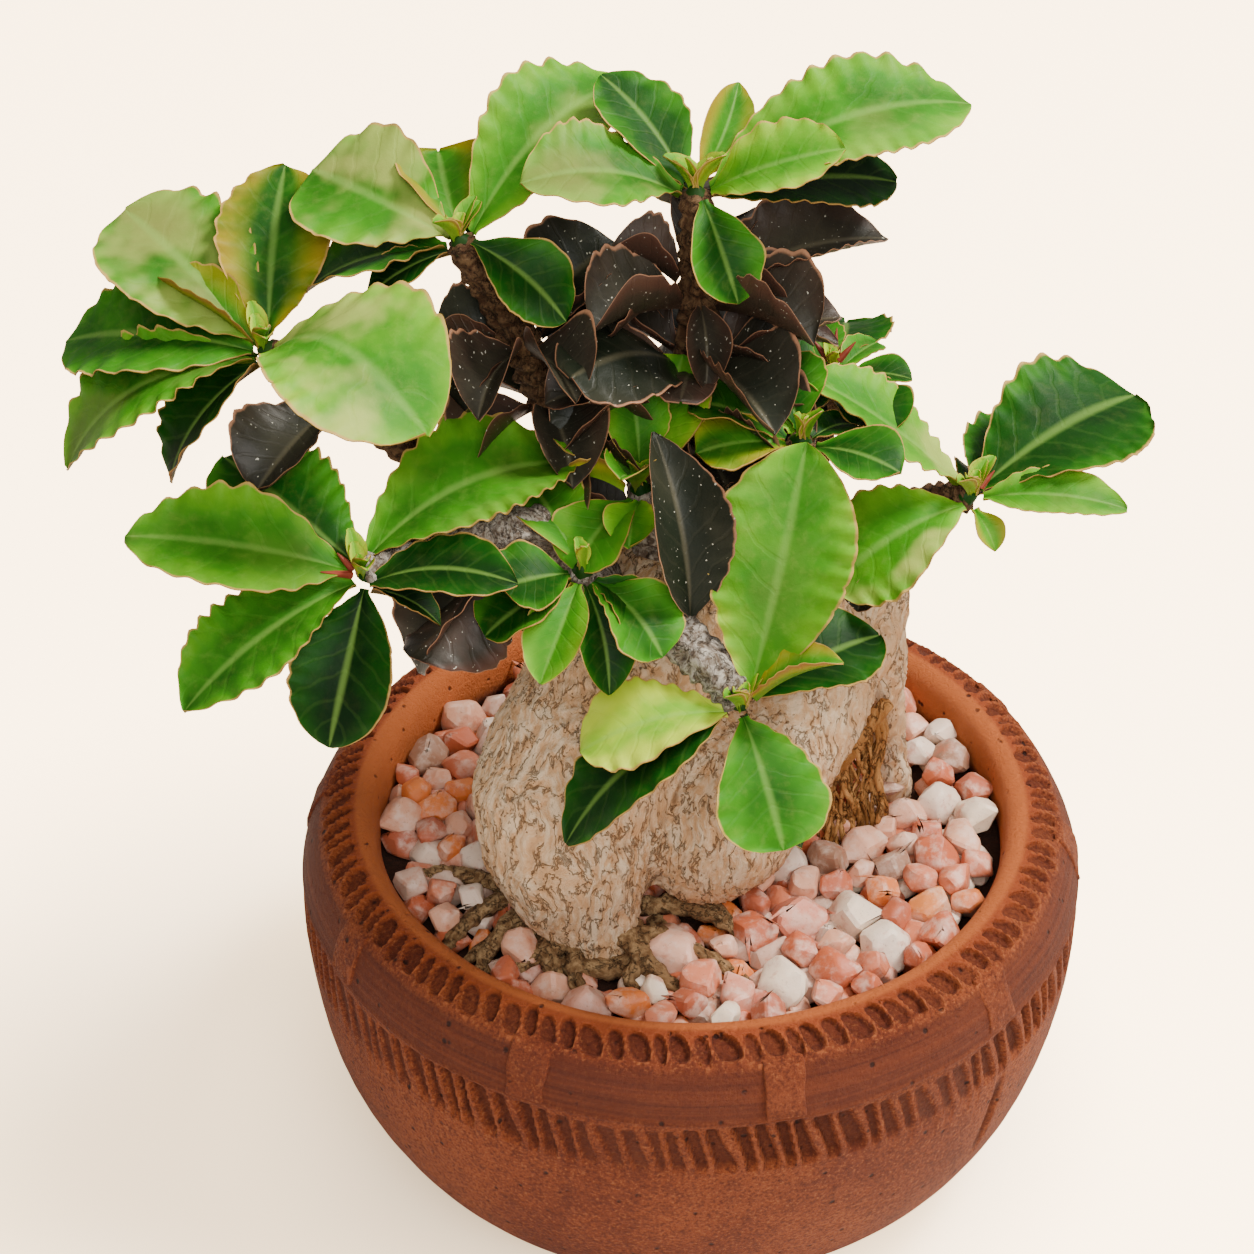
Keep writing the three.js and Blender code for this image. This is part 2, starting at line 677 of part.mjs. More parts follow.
// The place at a share of a stem's path, the stem's direction there and its radius.
function alongStem({ path, radii }, share) {
  const curve = new THREE.CatmullRomCurve3(path.map((p) => point(...p)));
  const place = share * (radii.length - 1);
  const before = Math.min(Math.floor(place), radii.length - 2);
  const radius = THREE.MathUtils.lerp(radii[before], radii[before + 1], place - before);
  return { centre: curve.getPoint(share), along: curve.getTangent(share), radius };
}

const shootStem = ({ path, radii }, grow = 0) =>
  limb(path, radii, { sides: 6, rings: 6, rough: 0.14, seed: path[0][0], grow });

function growingTip(shoot, grow = 0) {
  const { centre, along } = alongStem(shoot, 1);
  const tip = new THREE.IcosahedronGeometry(1, 0);
  tip.scale(TIP_RADIUS + grow, TIP_RADIUS + grow, TIP_RADIUS * 1.2 + grow);
  tip.applyQuaternion(new THREE.Quaternion().setFromUnitVectors(point(0, 0, 1), along));
  return solid(tip.translate(centre.x, centre.y, centre.z));
}

// Green leaves of one shoot. Each starts at the side of the tip that it grows to, so that it
// passes clear of the stem.
function greenLeaves(shoot) {
  const { centre, along } = alongStem(shoot, 1);
  const blades = shoot.green.map((leaf) => {
    const way = leafWay(leaf);
    const start = way.clone().addScaledVector(along, -Math.min(way.dot(along), 0));
    return blade(centre.clone().addScaledVector(start.normalize(), TIP_REACH), leaf);
  });
  return join(blades);
}

// Old leaves of one shoot, held together by the ring of their bases that sheathes the stem.
function oldLeaves(shoot, share, leaves) {
  const { centre, along, radius } = alongStem(shoot, share);
  const half = along.clone().multiplyScalar(SHEATH_LENGTH / 2);
  const ends = [centre.clone().sub(half), centre, centre.clone().add(half)];
  const wall = radius + SHEATH_WALL;
  const sheath = limb(ends.map((p) => p.toArray()), [wall, wall, wall], { sides: 7, rings: 2 });
  const blades = leaves.map((leaf) => {
    const way = leafWay(leaf);
    const climb = way.dot(along);
    const start = way.clone().addScaledVector(along, -climb).normalize();
    const foot = centre.clone().addScaledVector(along, (climb * SHEATH_LENGTH) / 2);
    return blade(foot.addScaledVector(start, radius + SHEATH_WALL / 2), leaf);
  });
  return join([sheath, ...blades]);
}

for (const shoot of SHOOTS) {
  const fatStem = shootStem(shoot, GAP).add(fatBase);
  const stem = shootStem(shoot).subtract(fatBase).subtract(growingTip(shoot, GAP));
  addPiece(shoot.name + "_stem", largest(stem), brownBark);
  const green = growingTip(shoot).add(greenLeaves(shoot).subtract(fatStem));
  addPiece(shoot.name + "_leaves", largest(green), freshGreen);
  if (shoot.old) {
    const old = oldLeaves(shoot, shoot.oldAt, shoot.old).subtract(fatStem);
    addPiece(shoot.name + "_old_leaves", largest(old), oldLeaf);
  }
  if (shoot.lowOld) {
    const lowOld = oldLeaves(shoot, shoot.lowOldAt, shoot.lowOld).subtract(fatStem);
    addPiece(shoot.name + "_low_old_leaves", largest(lowOld), oldLeaf);
  }
}

export default plant;
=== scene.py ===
"""Looks of the potted bonsai, built round its solids. +Z is up and -Y is the front. The pieces'
sizes are written in millimetres, and their meshes, the camera and the lamps are in metres."""

import math

import bpy
import numpy as np
from mathutils import Matrix, Vector, noise


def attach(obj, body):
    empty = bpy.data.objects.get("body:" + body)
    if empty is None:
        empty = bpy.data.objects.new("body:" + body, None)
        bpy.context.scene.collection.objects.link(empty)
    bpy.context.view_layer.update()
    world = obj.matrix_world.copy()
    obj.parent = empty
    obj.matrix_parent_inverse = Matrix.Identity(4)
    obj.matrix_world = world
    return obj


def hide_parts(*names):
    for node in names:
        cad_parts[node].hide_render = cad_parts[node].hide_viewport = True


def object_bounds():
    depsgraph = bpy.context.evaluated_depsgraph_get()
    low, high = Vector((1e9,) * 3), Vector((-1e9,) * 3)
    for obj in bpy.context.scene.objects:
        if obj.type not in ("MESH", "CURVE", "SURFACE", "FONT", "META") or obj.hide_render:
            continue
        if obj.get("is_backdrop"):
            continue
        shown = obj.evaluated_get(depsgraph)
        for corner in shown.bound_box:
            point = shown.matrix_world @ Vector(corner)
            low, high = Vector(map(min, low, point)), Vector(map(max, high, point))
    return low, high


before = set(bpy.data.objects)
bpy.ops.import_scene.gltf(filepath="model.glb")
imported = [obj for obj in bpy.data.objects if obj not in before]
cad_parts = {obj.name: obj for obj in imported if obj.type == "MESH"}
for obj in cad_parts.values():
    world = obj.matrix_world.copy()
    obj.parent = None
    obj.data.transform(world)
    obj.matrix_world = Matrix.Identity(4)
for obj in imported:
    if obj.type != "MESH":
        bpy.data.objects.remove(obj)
cad_low, cad_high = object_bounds()
MM = 0.001


# CAMERA, LIGHT AND FLOOR
# The picture is taken from the front, 36 degrees down, with a long lens, on a pale floor that
# runs into a pale backdrop. A soft lamp stands high on the right, and a wide one in front.

CAMERA_PLACE = (-0.0162, -0.5634, 0.5684)
CAMERA_DOWN = 36.4
CAMERA_LENS = 82.4
SKY_LIGHT = 0.5
BACKDROP_GLOW = 7
SHADE_PLACE = (-0.11, -0.01, 0)

camera_data = bpy.data.cameras.new("camera")
camera_data.lens = CAMERA_LENS
camera = bpy.data.objects.new("camera", camera_data)
camera.location = CAMERA_PLACE
camera.rotation_euler = (math.radians(90 - CAMERA_DOWN), 0, 0)
bpy.context.collection.objects.link(camera)
bpy.context.scene.camera = camera


def add_lamp(name, place, target, size, watts, tone):
    """A square lamp that points at a target."""
    lamp_data = bpy.data.lights.new(name, "AREA")
    lamp_data.size = size
    lamp_data.energy = watts
    lamp_data.color = tone
    lamp = bpy.data.objects.new(name, lamp_data)
    lamp.location = place
    aim = Vector(target) - Vector(place)
    lamp.rotation_euler = aim.to_track_quat("-Z", "Y").to_euler()
    bpy.context.collection.objects.link(lamp)


add_lamp("key", (0.7, 0.1, 1.3), (0, 0, 0.15), 0.4, 36, (1, 0.96, 0.89))
add_lamp("front", (0.15, -1.3, 1.25), (0, 0, 0.12), 1.0, 24, (1, 0.98, 0.95))

world = bpy.data.worlds.new("studio")
world.use_nodes = True
sky = world.node_tree.nodes["Background"]
sky.inputs["Color"].default_value = (0.93, 0.895, 0.85, 1)
sky.inputs["Strength"].default_value = SKY_LIGHT
bpy.context.scene.world = world


def new_material(name):
    """A new material, its tree and its main shader."""
    made = bpy.data.materials.new(name)
    made.use_nodes = True
    return made, made.node_tree, made.node_tree.nodes["Principled BSDF"]


def colour(code):
    """Paint for a colour as it looks in the light here, from its screen code, such as "b4582f"."""
    parts = [int(code[i : i + 2], 16) / 255 for i in (0, 2, 4)]
    return tuple(0.85 * v**2.8 for v in parts) + (1,)


def put(tree, kind, values=None, **settings):
    """A shader node with its settings. Its sockets are set to values, among them colour codes, or
    linked to other sockets."""
    made = tree.nodes.new(kind)
    for key, value in settings.items():
        setattr(made, key, value)
    for key, value in (values or {}).items():
        if isinstance(value, bpy.types.NodeSocket):
            tree.links.new(value, made.inputs[key])
        else:
            made.inputs[key].default_value = colour(value) if isinstance(value, str) else value
    return made


def ranged(tree, value, low, high, to_low=0.0, to_high=1.0):
    """A value mapped smoothly from one range to another."""
    values = {0: value, 1: low, 2: high, 3: to_low, 4: to_high}
    return put(tree, "ShaderNodeMapRange", values, interpolation_type="SMOOTHSTEP").outputs[0]


def maths(tree, operation, first, second=0.0):
    """The result of a sum on one or two values."""
    return put(tree, "ShaderNodeMath", {0: first, 1: second}, operation=operation).outputs[0]


def times(tree, first, second):
    return maths(tree, "MULTIPLY", first, second)


def own_place(tree, stretch=(1, 1, 1)):
    """The piece's own coordinates, stretched."""
    source = tree.nodes.new("ShaderNodeTexCoord").outputs["Object"]
    return put(tree, "ShaderNodeMapping", {"Vector": source, "Scale": stretch}).outputs[0]


# The floor glows to the camera alone, less where the object's soft shade falls on it.
bpy.ops.mesh.primitive_plane_add(size=14, location=(0, 0, 0))
floor = bpy.context.object
floor.name = "floor"
floor_paint, tree, shader = new_material("backdrop")
shader.inputs["Base Color"].default_value = (0.92, 0.8, 0.68, 1)
shader.inputs["Roughness"].default_value = 0.9
shader.inputs["Emission Color"].default_value = (1, 0.72, 0.4, 1)
seen = put(tree, "ShaderNodeLightPath").outputs["Is Camera Ray"]
place = own_place(tree)
to_shade = put(tree, "ShaderNodeVectorMath", {0: place, 1: SHADE_PLACE}, operation="DISTANCE")
to_pot = put(tree, "ShaderNodeVectorMath", {0: place, 1: (0, 0, 0)}, operation="DISTANCE")
lit = times(
    tree,
    ranged(tree, to_shade.outputs["Value"], 0.04, 0.2, 0.3, 1),
    ranged(tree, to_pot.outputs["Value"], 0.055, 0.13, 0.25, 1),
)
bright = times(tree, times(tree, seen, lit), BACKDROP_GLOW)
tree.links.new(bright, shader.inputs["Emission Strength"])
floor.data.materials.append(floor_paint)
floor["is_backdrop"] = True


# POT
# A thrown bowl of red clay, fired and unglazed. The potter pressed a row of notches round the
# rolled lip and slanting cuts round the widest part, and stuck slips of clay on between them.

POT_RADIUS = 99.9
POT_FOOT = 58
POT_WIDEST = 74  # height of the widest part
ROUND_STEPS = 1080
CUTS = 120
CUT_BAND = (67.2, 82.3)  # heights
NOTCHES = 108
NOTCH_BAND = (93.4, 86.6)  # radii
SLIPS = 10
SLIP_HEIGHT = 90.4
SLIP_SIZE = (2, 10, 13.6)
FIRST_SLIP = -42  # degrees from +X
GOUGE_TURN = -41

# Lines round the plain band, each with its height, width and depth. A depth below 0 is a ridge.
SCRIBED = ((83.6, 0.5, -0.5), (85.2, 0.4, -0.4), (90.5, 0.35, 0.35))


def deselect():
    """Leaves edit mode and selects nothing."""
    if bpy.context.object and bpy.context.object.mode == "EDIT":
        bpy.ops.object.mode_set(mode="OBJECT")
    bpy.ops.object.select_all(action="DESELECT")


def belly(turn):
    """Radius and height of the bowl's outside, at a share of the way to its widest."""
    angle = math.radians(90 * turn)
    radius = POT_FOOT + (POT_RADIUS - POT_FOOT) * math.sin(angle) ** 0.9
    return radius, POT_WIDEST * (1 - math.cos(angle))


pot_profile = [belly(i / 18) for i in range(18)]
pot_profile += [(POT_RADIUS - 0.6 * (i / 15) ** 2, 69 + i * 0.95) for i in range(1, 16)]
pot_profile += [(99.1, 84.4), (98.6, 87), (97.7, 90), (96.3, 93), (95, 95.2), (94, 96.5)]
pot_profile += [(93.4 - 6.8 * i / 14, 97 + 3.1 * math.sin(i / 14 * math.pi / 2)) for i in range(15)]
pot_profile += [(85.6, 100.35), (84.2, 100.3), (82.6, 99.8), (81.2, 98.6), (80.2, 96.6), (79.6, 94)]
pot_profile += [(79.3, 90), (80, 84), (84, 80), (86.5, 74), (81, 40), (54, 10)]

deselect()
bpy.ops.mesh.primitive_circle_add(vertices=ROUND_STEPS, radius=POT_FOOT * MM, fill_type="NGON")
pot = bpy.context.object
pot.name = "clay_bowl"
bpy.ops.object.mode_set(mode="EDIT")
bpy.ops.mesh.select_mode(type="FACE")
bpy.ops.mesh.select_all(action="SELECT")
bpy.ops.mesh.flip_normals()
bpy.ops.mesh.select_mode(type="EDGE")
bpy.ops.mesh.select_all(action="SELECT")
for (radius, height), (next_radius, next_height) in zip(pot_profile, pot_profile[1:]):
    bpy.ops.mesh.extrude_edges_move(
        TRANSFORM_OT_translate={"value": (0, 0, (next_height - height) * MM)}
    )
    grow = next_radius / radius
    bpy.ops.transform.resize(value=(grow, grow, 1), center_override=(0, 0, 0))
bpy.ops.mesh.edge_face_add()
bpy.ops.mesh.select_all(action="SELECT")
bpy.ops.mesh.normals_make_consistent(inside=False)
bpy.ops.object.mode_set(mode="OBJECT")


def select_only(piece):
    """Selects one piece and makes it the active one."""
    deselect()
    piece.select_set(True)
    bpy.context.view_layer.objects.active = piece


def coordinates(piece):
    """The corners of a piece's mesh, in millimetres."""
    flat = np.empty(len(piece.data.vertices) * 3)
    piece.data.vertices.foreach_get("co", flat)
    return flat.reshape(-1, 3) / MM


def move_to(piece, points):
    """Moves a piece's corners to points, in millimetres."""
    piece.data.vertices.foreach_set("co", (points * MM).ravel())
    piece.data.update()


def mark_corners(piece, name, values):
    """Stores one value, a number or a colour, at each corner of a piece."""
    kind = "FLOAT_COLOR" if np.ndim(values[0]) else "FLOAT"
    attribute = piece.data.attributes.new(name, kind, "POINT")
    flat = np.array(values, np.float32).ravel()
    attribute.data.foreach_set("color" if kind == "FLOAT_COLOR" else "value", flat)


def press_bands(piece):
    """Presses the notches and cuts into the bowl, scribes the lines round its plain band and scores
    a gouge below it. Each corner is marked by how far it was pressed."""
    points = coordinates(piece)
    x, y, z = points.T
    radius = np.hypot(x, y)
    angle = np.arctan2(y, x)
    outside = (radius > 60) & ~((radius < 90) & (z < 96))

    up = np.clip((z - CUT_BAND[0]) / (CUT_BAND[1] - CUT_BAND[0]), -0.2, 1.2)
    turn = angle * CUTS / (2 * math.pi) + 0.8 * up
    turn += 0.16 * np.sin(angle * 23) + 0.1 * np.sin(angle * 61)
    place = (turn % 1) - 0.5
    wobble = np.sin(np.floor(turn) * 12.9898) * 0.12
    reach = 1 - ((up - 0.5 - wobble * 0.4) / 0.47) ** 2
    cut = np.clip(reach * 3, 0, 1) * np.clip((0.33 - np.abs(place)) / 0.08, 0, 1)
    cut *= outside * (z > 66) * (z < 86)
    depth = (1.4 + wobble * 6) * cut
    for line_height, line_width, line_depth in SCRIBED:
        depth += line_depth * np.exp(-(((z - line_height) / line_width) ** 2)) * outside

    over = np.clip((NOTCH_BAND[0] - radius) / (NOTCH_BAND[0] - NOTCH_BAND[1]), -0.2, 1.2)
    turn = angle * NOTCHES / (2 * math.pi) + 0.45 * over
    turn += 0.14 * np.sin(angle * 19) + 0.1 * np.sin(angle * 53)
    place = (turn % 1) - 0.5
    wobble = np.sin(np.floor(turn) * 78.233) * 0.1
    oval = 1 - (place / (0.42 + wobble * 0.5)) ** 2 - np.abs((over - 0.5 - wobble * 0.6) / 0.52) ** 3
    notch = np.clip(oval * 2.2, 0, 1) * (z > 96.4)
    rim = 0.35 * np.exp(-(((oval + 0.08) / 0.13) ** 2)) * (z > 96.4) * (radius > 84)

    line = GOUGE_TURN - (CUT_BAND[0] - z) * 0.07
    aside = (np.degrees(angle) - line) * radius * math.pi / 180
    gouge = np.exp(-((aside / 1.7) ** 4)) * (z > 42) * (z < CUT_BAND[0])
    depth += gouge * (1.5 + 0.7 * np.sin(z * 1.3))

    inward = np.stack([-x / radius, -y / radius, np.zeros_like(z)], 1)
    down = np.stack([-x / radius * 0.5, -y / radius * 0.5, -0.87 * np.ones_like(z)], 1)
    points = points + inward * depth[:, None] + down * (notch * (1.4 + wobble * 4) - rim)[:, None]
    for i in np.flatnonzero(outside):
        waver = noise.noise(Vector(points[i]) * 0.035) * 0.5
        points[i] -= waver * inward[i]
    foot = radius < POT_FOOT + 0.1
    points[foot & (z < 1), 2] = 0
    reach = np.maximum(np.hypot(points[:, 0], points[:, 1]) / (POT_RADIUS - 0.05), 1)
    points[:, :2] /= reach[:, None]
    move_to(piece, points)
    mark_corners(piece, "pressed", cut * 0.85 + notch * 0.65 + gouge * 1.2 - rim * 2)


press_bands(pot)

# The slips are dabs of clay stuck on across the plain band, pressed to the bowl's side.
side_radii, side_heights = zip(*pot_profile[18:44])

for i in range(SLIPS):
    deselect()
    bpy.ops.mesh.primitive_cube_add(size=1)
    slip = bpy.context.object
    bpy.ops.object.mode_set(mode="EDIT")
    bpy.ops.mesh.select_all(action="SELECT")
    bpy.ops.transform.resize(value=[size * MM for size in SLIP_SIZE])
    bpy.ops.mesh.bevel(offset=0.7 * MM, segments=2, affect="EDGES")
    bpy.ops.mesh.subdivide(number_cuts=3)
    bpy.ops.object.mode_set(mode="OBJECT")
    for corner in slip.data.vertices:
        out, aside, up = corner.co / MM
        ragged = noise.noise(Vector((aside * 0.3, up * 0.3, i * 9))) * 0.5
        up += SLIP_HEIGHT
        out = np.interp(up, side_heights, side_radii) - 0.35 + out * 0.9 + ragged
        corner.co = Vector((out, aside + ragged * 2, up)) * MM
    slip.data.transform(Matrix.Rotation(math.radians(FIRST_SLIP + 360 / SLIPS * i), 4, "Z"))
    mark_corners(slip, "pressed", [-1.0] * len(slip.data.vertices))
    slip.select_set(True)
    pot.select_set(True)
    bpy.context.view_layer.objects.active = pot
    bpy.ops.object.join()

select_only(pot)
bpy.ops.object.shade_smooth_by_angle(angle=math.radians(50))


def mixed(tree, share, first, second):
    """The colour that lies a share of the way from one to another."""
    return put(tree, "ShaderNodeMix", {0: share, 6: first, 7: second}, data_type="RGBA").outputs[2]


def plus(tree, first, second):
    return maths(tree, "ADD", first, second)


def less(tree, first, second):
    return maths(tree, "SUBTRACT", first, second)


def speckle(tree, place, scale, detail=4.0, rough=0.6):
    """Noise of a given scale over a piece's own coordinates."""
    values = {"Vector": place, "Scale": scale, "Detail": detail, "Roughness": rough}
    return put(tree, "ShaderNodeTexNoise", values).outputs["Fac"]


def bumped(tree, height, distance, strength=1.0, below=None):
    """A normal tilted by a height, over another bump if one is given."""
    values = {"Height": height, "Distance": distance, "Strength": strength}
    if below is not None:
        values["Normal"] = below
    return put(tree, "ShaderNodeBump", values).outputs[0]


clay, tree, shader = new_material("terracotta")
place = own_place(tree)
parts = put(tree, "ShaderNodeSeparateXYZ", {0: place})
height = parts.outputs["Z"]
grain = speckle(tree, place, 1100, 6, 0.75)
mottle = speckle(tree, place, 240, 5, 0.7)
cloud = speckle(tree, place, 22, 5, 0.6)
brushed = speckle(tree, own_place(tree, (8, 8, 900)), 1, 4, 0.6)

# The clay is clouded, mottled and grainy.
base = mixed(tree, ranged(tree, cloud, 0.35, 0.65), "96502f", "b3683f")
base = mixed(tree, ranged(tree, mottle, 0.45, 0.7, 0, 0.6), base, "7e4026")
base = mixed(tree, ranged(tree, grain, 0.48, 0.62, 0, 0.75), base, "6a331e")
base = mixed(tree, ranged(tree, grain, 0.46, 0.36, 0, 0.6), base, "cf8a5c")

# The plain band is brushed darker, the slips on it less so.
band = times(tree, ranged(tree, height, 0.081, 0.085), ranged(tree, height, 0.097, 0.094))
dark_band = mixed(tree, ranged(tree, brushed, 0.3, 0.7), "6a3420", "8f4e30")
pressed = put(tree, "ShaderNodeAttribute", attribute_name="pressed").outputs["Fac"]
on_slip = ranged(tree, pressed, -0.95, -0.85, 1, 0)
band = times(tree, band, less(tree, 0.8, times(tree, on_slip, 0.6)))
base = mixed(tree, band, base, dark_band)

# What is pressed in is darker, a painted shade, and the rims round it and the lip are paler. The
# inside of the wall is paler too, a painted light.
base = mixed(tree, ranged(tree, pressed, 0.15, 1, 0, 0.75), base, "6b3620")
raised_rim = times(tree, ranged(tree, pressed, -0.1, -0.5), less(tree, 1, on_slip))
base = mixed(tree, times(tree, raised_rim, 0.45), base, "d98a5a")
lip = ranged(tree, height, 0.0985, 0.1003, 0, 0.7)
base = mixed(tree, lip, base, "c26a3e")
# Painted light: the inside of the wall, near its top, is made paler.
level = put(tree, "ShaderNodeVectorMath", {0: place, 1: (1, 1, 0)}, operation="MULTIPLY").outputs[0]
from_axis = put(tree, "ShaderNodeVectorMath", {0: level}, operation="LENGTH").outputs["Value"]
inside = times(tree, ranged(tree, from_axis, 0.0862, 0.0845), ranged(tree, height, 0.085, 0.09))
base = mixed(tree, times(tree, inside, 0.85), base, "de8850")

# Small pocks are scattered over it, hollows are darkened with painted shade and ridges are paler.
pocks = put(tree, "ShaderNodeTexVoronoi", {"Vector": place, "Scale": 230.0}).outputs["Distance"]
pock = ranged(tree, pocks, 0.08, 0.2, 1, 0)
pock = times(tree, pock, ranged(tree, speckle(tree, place, 160, 2), 0.48, 0.56))
base = mixed(tree, times(tree, pock, 0.85), base, "3c1a10")
hollow = put(tree, "ShaderNodeNewGeometry").outputs["Pointiness"]
base = mixed(tree, ranged(tree, hollow, 0.42, 0.49, 0.5, 0), base, "4f2212")
base = mixed(tree, ranged(tree, hollow, 0.52, 0.58, 0, 0.35), base, "cf7c4c")

tree.links.new(base, shader.inputs["Base Color"])
shader.inputs["Roughness"].default_value = 0.72
shader.inputs["Specular IOR Level"].default_value = 0.3
low_bump = bumped(tree, less(tree, plus(tree, grain, mottle), pock), 0.0014, 1.0)
tree.links.new(bumped(tree, brushed, 0.0003, 0.35, low_bump), shader.inputs["Normal"])
pot.data.materials.append(clay)
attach(pot, "root")
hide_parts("pot")


# SOIL
# The damp potting mix that fills the bowl up to the pebbles. Its solid's shape is right, so it
# stays and is only given its finish.

earth, tree, shader = new_material("soil")
place = own_place(tree)
crumbs = speckle(tree, place, 500, 5, 0.7)
tree.links.new(mixed(tree, crumbs, "3a2418", "6e4a36"), shader.inputs["Base Color"])
shader.inputs["Roughness"].default_value = 1
tree.links.new(bumped(tree, crumbs, 0.001), shader.inputs["Normal"])
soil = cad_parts["soil"]
soil.data.materials.clear()
soil.data.materials.append(earth)


# STEM BASE
# The swollen foot of the plant: a round lobe at the front left, a second one beside it that rises
# as an arch, and a thin leg behind. Grown as one body, so its limbs are melted into one skin.


def curve_points(path, steps):
    """Points along a smooth curve through the path's points, as an array."""
    p = [np.array(q, float) for q in path]
    p = [2 * p[0] - p[1]] + p + [2 * p[-1] - p[-2]]
    spans = len(path) - 1
    points = []
    for i in range(steps + 1):
        place = min(i / steps * spans, spans - 1e-9)
        k = int(place)
        t = place - k
        a, b, c, d = p[k : k + 4]
        square = (2 * a - 5 * b + 4 * c - d) * t**2
        cube = (3 * b - a - 3 * c + d) * t**3
        points.append(0.5 * (2 * b + (c - a) * t + square + cube))
    return np.array(points)


def limb_mesh(path, radii, sides, steps, relief=None):
    """Corners and faces of a round limb along a path, closed at both ends. relief(t, angle,
    length) adds to its radius."""
    centres = curve_points(path, steps)
    ways = np.gradient(centres, axis=0)
    ways /= np.linalg.norm(ways, axis=1)[:, None]
    length = np.linalg.norm(np.diff(centres, axis=0), axis=1).sum()
    shares = np.linspace(0, 1, steps + 1)
    widths = np.interp(shares, np.linspace(0, 1, len(radii)), radii)
    across = np.array([0.3, 1, 0.2])
    corners = []
    for i, (centre, way, width) in enumerate(zip(centres, ways, widths)):
        across = across - way * across.dot(way)
        across /= np.linalg.norm(across)
        aside = np.cross(way, across)
        for k in range(sides):
            angle = 2 * math.pi * k / sides
            reach = width + (relief(shares[i], angle, length) if relief else 0)
            corners.append(centre + (across * math.cos(angle) + aside * math.sin(angle)) * reach)
    faces = []
    for i in range(steps):
        for k in range(sides):
            n = (k + 1) % sides
            low, high = i * sides, (i + 1) * sides
            faces.append((low + k, low + n, high + n, high + k))
    first, last = len(corners), len(corners) + 1
    corners.append(centres[0] - ways[0] * widths[0] * 0.45)
    corners.append(centres[-1] + ways[-1] * widths[-1] * 0.45)
    top = steps * sides
    for k in range(sides):
        n = (k + 1) % sides
        faces.append((first, n, k))
        faces.append((last, top + k, top + n))
    return corners, faces


def piece_of(name, shapes):
    """One piece from several lists of corners, in millimetres, and faces."""
    corners, faces = [], []
    for shape_corners, shape_faces in shapes:
        start = len(corners)
        corners.extend(shape_corners)
        faces.extend(tuple(start + i for i in face) for face in shape_faces)
    mesh = bpy.data.meshes.new(name)
    mesh.from_pydata([tuple(c * MM for c in corner) for corner in corners], [], faces)
    mesh.update()
    made = bpy.data.objects.new(name, mesh)
    bpy.context.collection.objects.link(made)
    return made


# Each limb: the places its middle runs through, and its radii.
LOBES = [
    (
        [
            (-22, -39, 77),
            (-24, -40, 90),
            (-29, -34, 106),
            (-30, -27, 122),
            (-21, -19, 142),
            (-13, -13, 162),
            (-8, -8, 178),
        ],
        (8, 11, 20, 24, 23, 22, 15),
    ),
    (
        [(-1, -26, 94), (3, -24, 106), (12, -15, 122), (25, -4, 136), (36, 5, 149), (43, 11, 160)],
        (10, 20, 22, 19, 15, 10),
    ),
    ([(42, 12, 160), (46, 14, 142), (49, 15, 120), (52, 17, 98), (54, 18, 79)], (12, 8, 5.5, 5, 5)),
    ([(-26, -12, 162), (-8, -6, 172), (14, 0, 172), (33, 8, 162)], (15, 19, 19, 14)),
]


def apply(piece, kind, **settings):
    """Adds a modifier to a piece and applies it."""
    select_only(piece)
    modifier = piece.modifiers.new(kind, kind)
    for key, value in settings.items():
        setattr(modifier, key, value)
    bpy.ops.object.modifier_apply(modifier=modifier.name)


stem_base = piece_of("swollen_base", [limb_mesh(path, radii, 28, 40) for path, radii in LOBES])
apply(stem_base, "REMESH", mode="VOXEL", voxel_size=1.6 * MM)
apply(stem_base, "SMOOTH", factor=0.8, iterations=9)
apply(stem_base, "REMESH", mode="VOXEL", voxel_size=0.95 * MM)
apply(stem_base, "SMOOTH", factor=0.7, iterations=3)


def fibres(at):
    """Height of the bark's long peeling flakes at a point, in millimetres."""
    bend = Vector([noise.noise(at * 0.045 + Vector((shift, 0, 0))) for shift in (9, 3, -5)])
    place = at + bend * 9
    rope = 1 - abs(noise.noise(place * Vector((0.2, 0.2, 0.055))))
    flake = 1 - abs(noise.noise(place * Vector((0.5, 0.5, 0.16)) + Vector((7, 1, 3))))
    return (rope**3 - 0.5) * 0.6 + (flake**4 - 0.4) * 0.75 + noise.noise(at * 0.07) * 1.2


def roughen(piece, height_at):
    """Moves each corner of a piece out along its normal."""
    normals = np.empty(len(piece.data.vertices) * 3)
    piece.data.vertices.foreach_get("normal", normals)
    normals = normals.reshape(-1, 3)
    points = coordinates(piece)
    heights = np.array([height_at(Vector(p)) for p in points])
    move_to(piece, points + normals * heights[:, None])


roughen(stem_base, fibres)
select_only(stem_base)
bpy.ops.object.shade_smooth()


def shader_group(name, inputs, outputs):
    """An empty shader group with named sockets: its tree, what it is given and what it puts out."""
    group = bpy.data.node_groups.new(name, "ShaderNodeTree")
    for way, sockets in (("INPUT", inputs), ("OUTPUT", outputs)):
        for socket, kind in sockets.items():
            group.interface.new_socket(socket, in_out=way, socket_type="NodeSocket" + kind)
    given = group.nodes.new("NodeGroupInput").outputs
    result = group.nodes.new("NodeGroupOutput").inputs
    return group, given, result
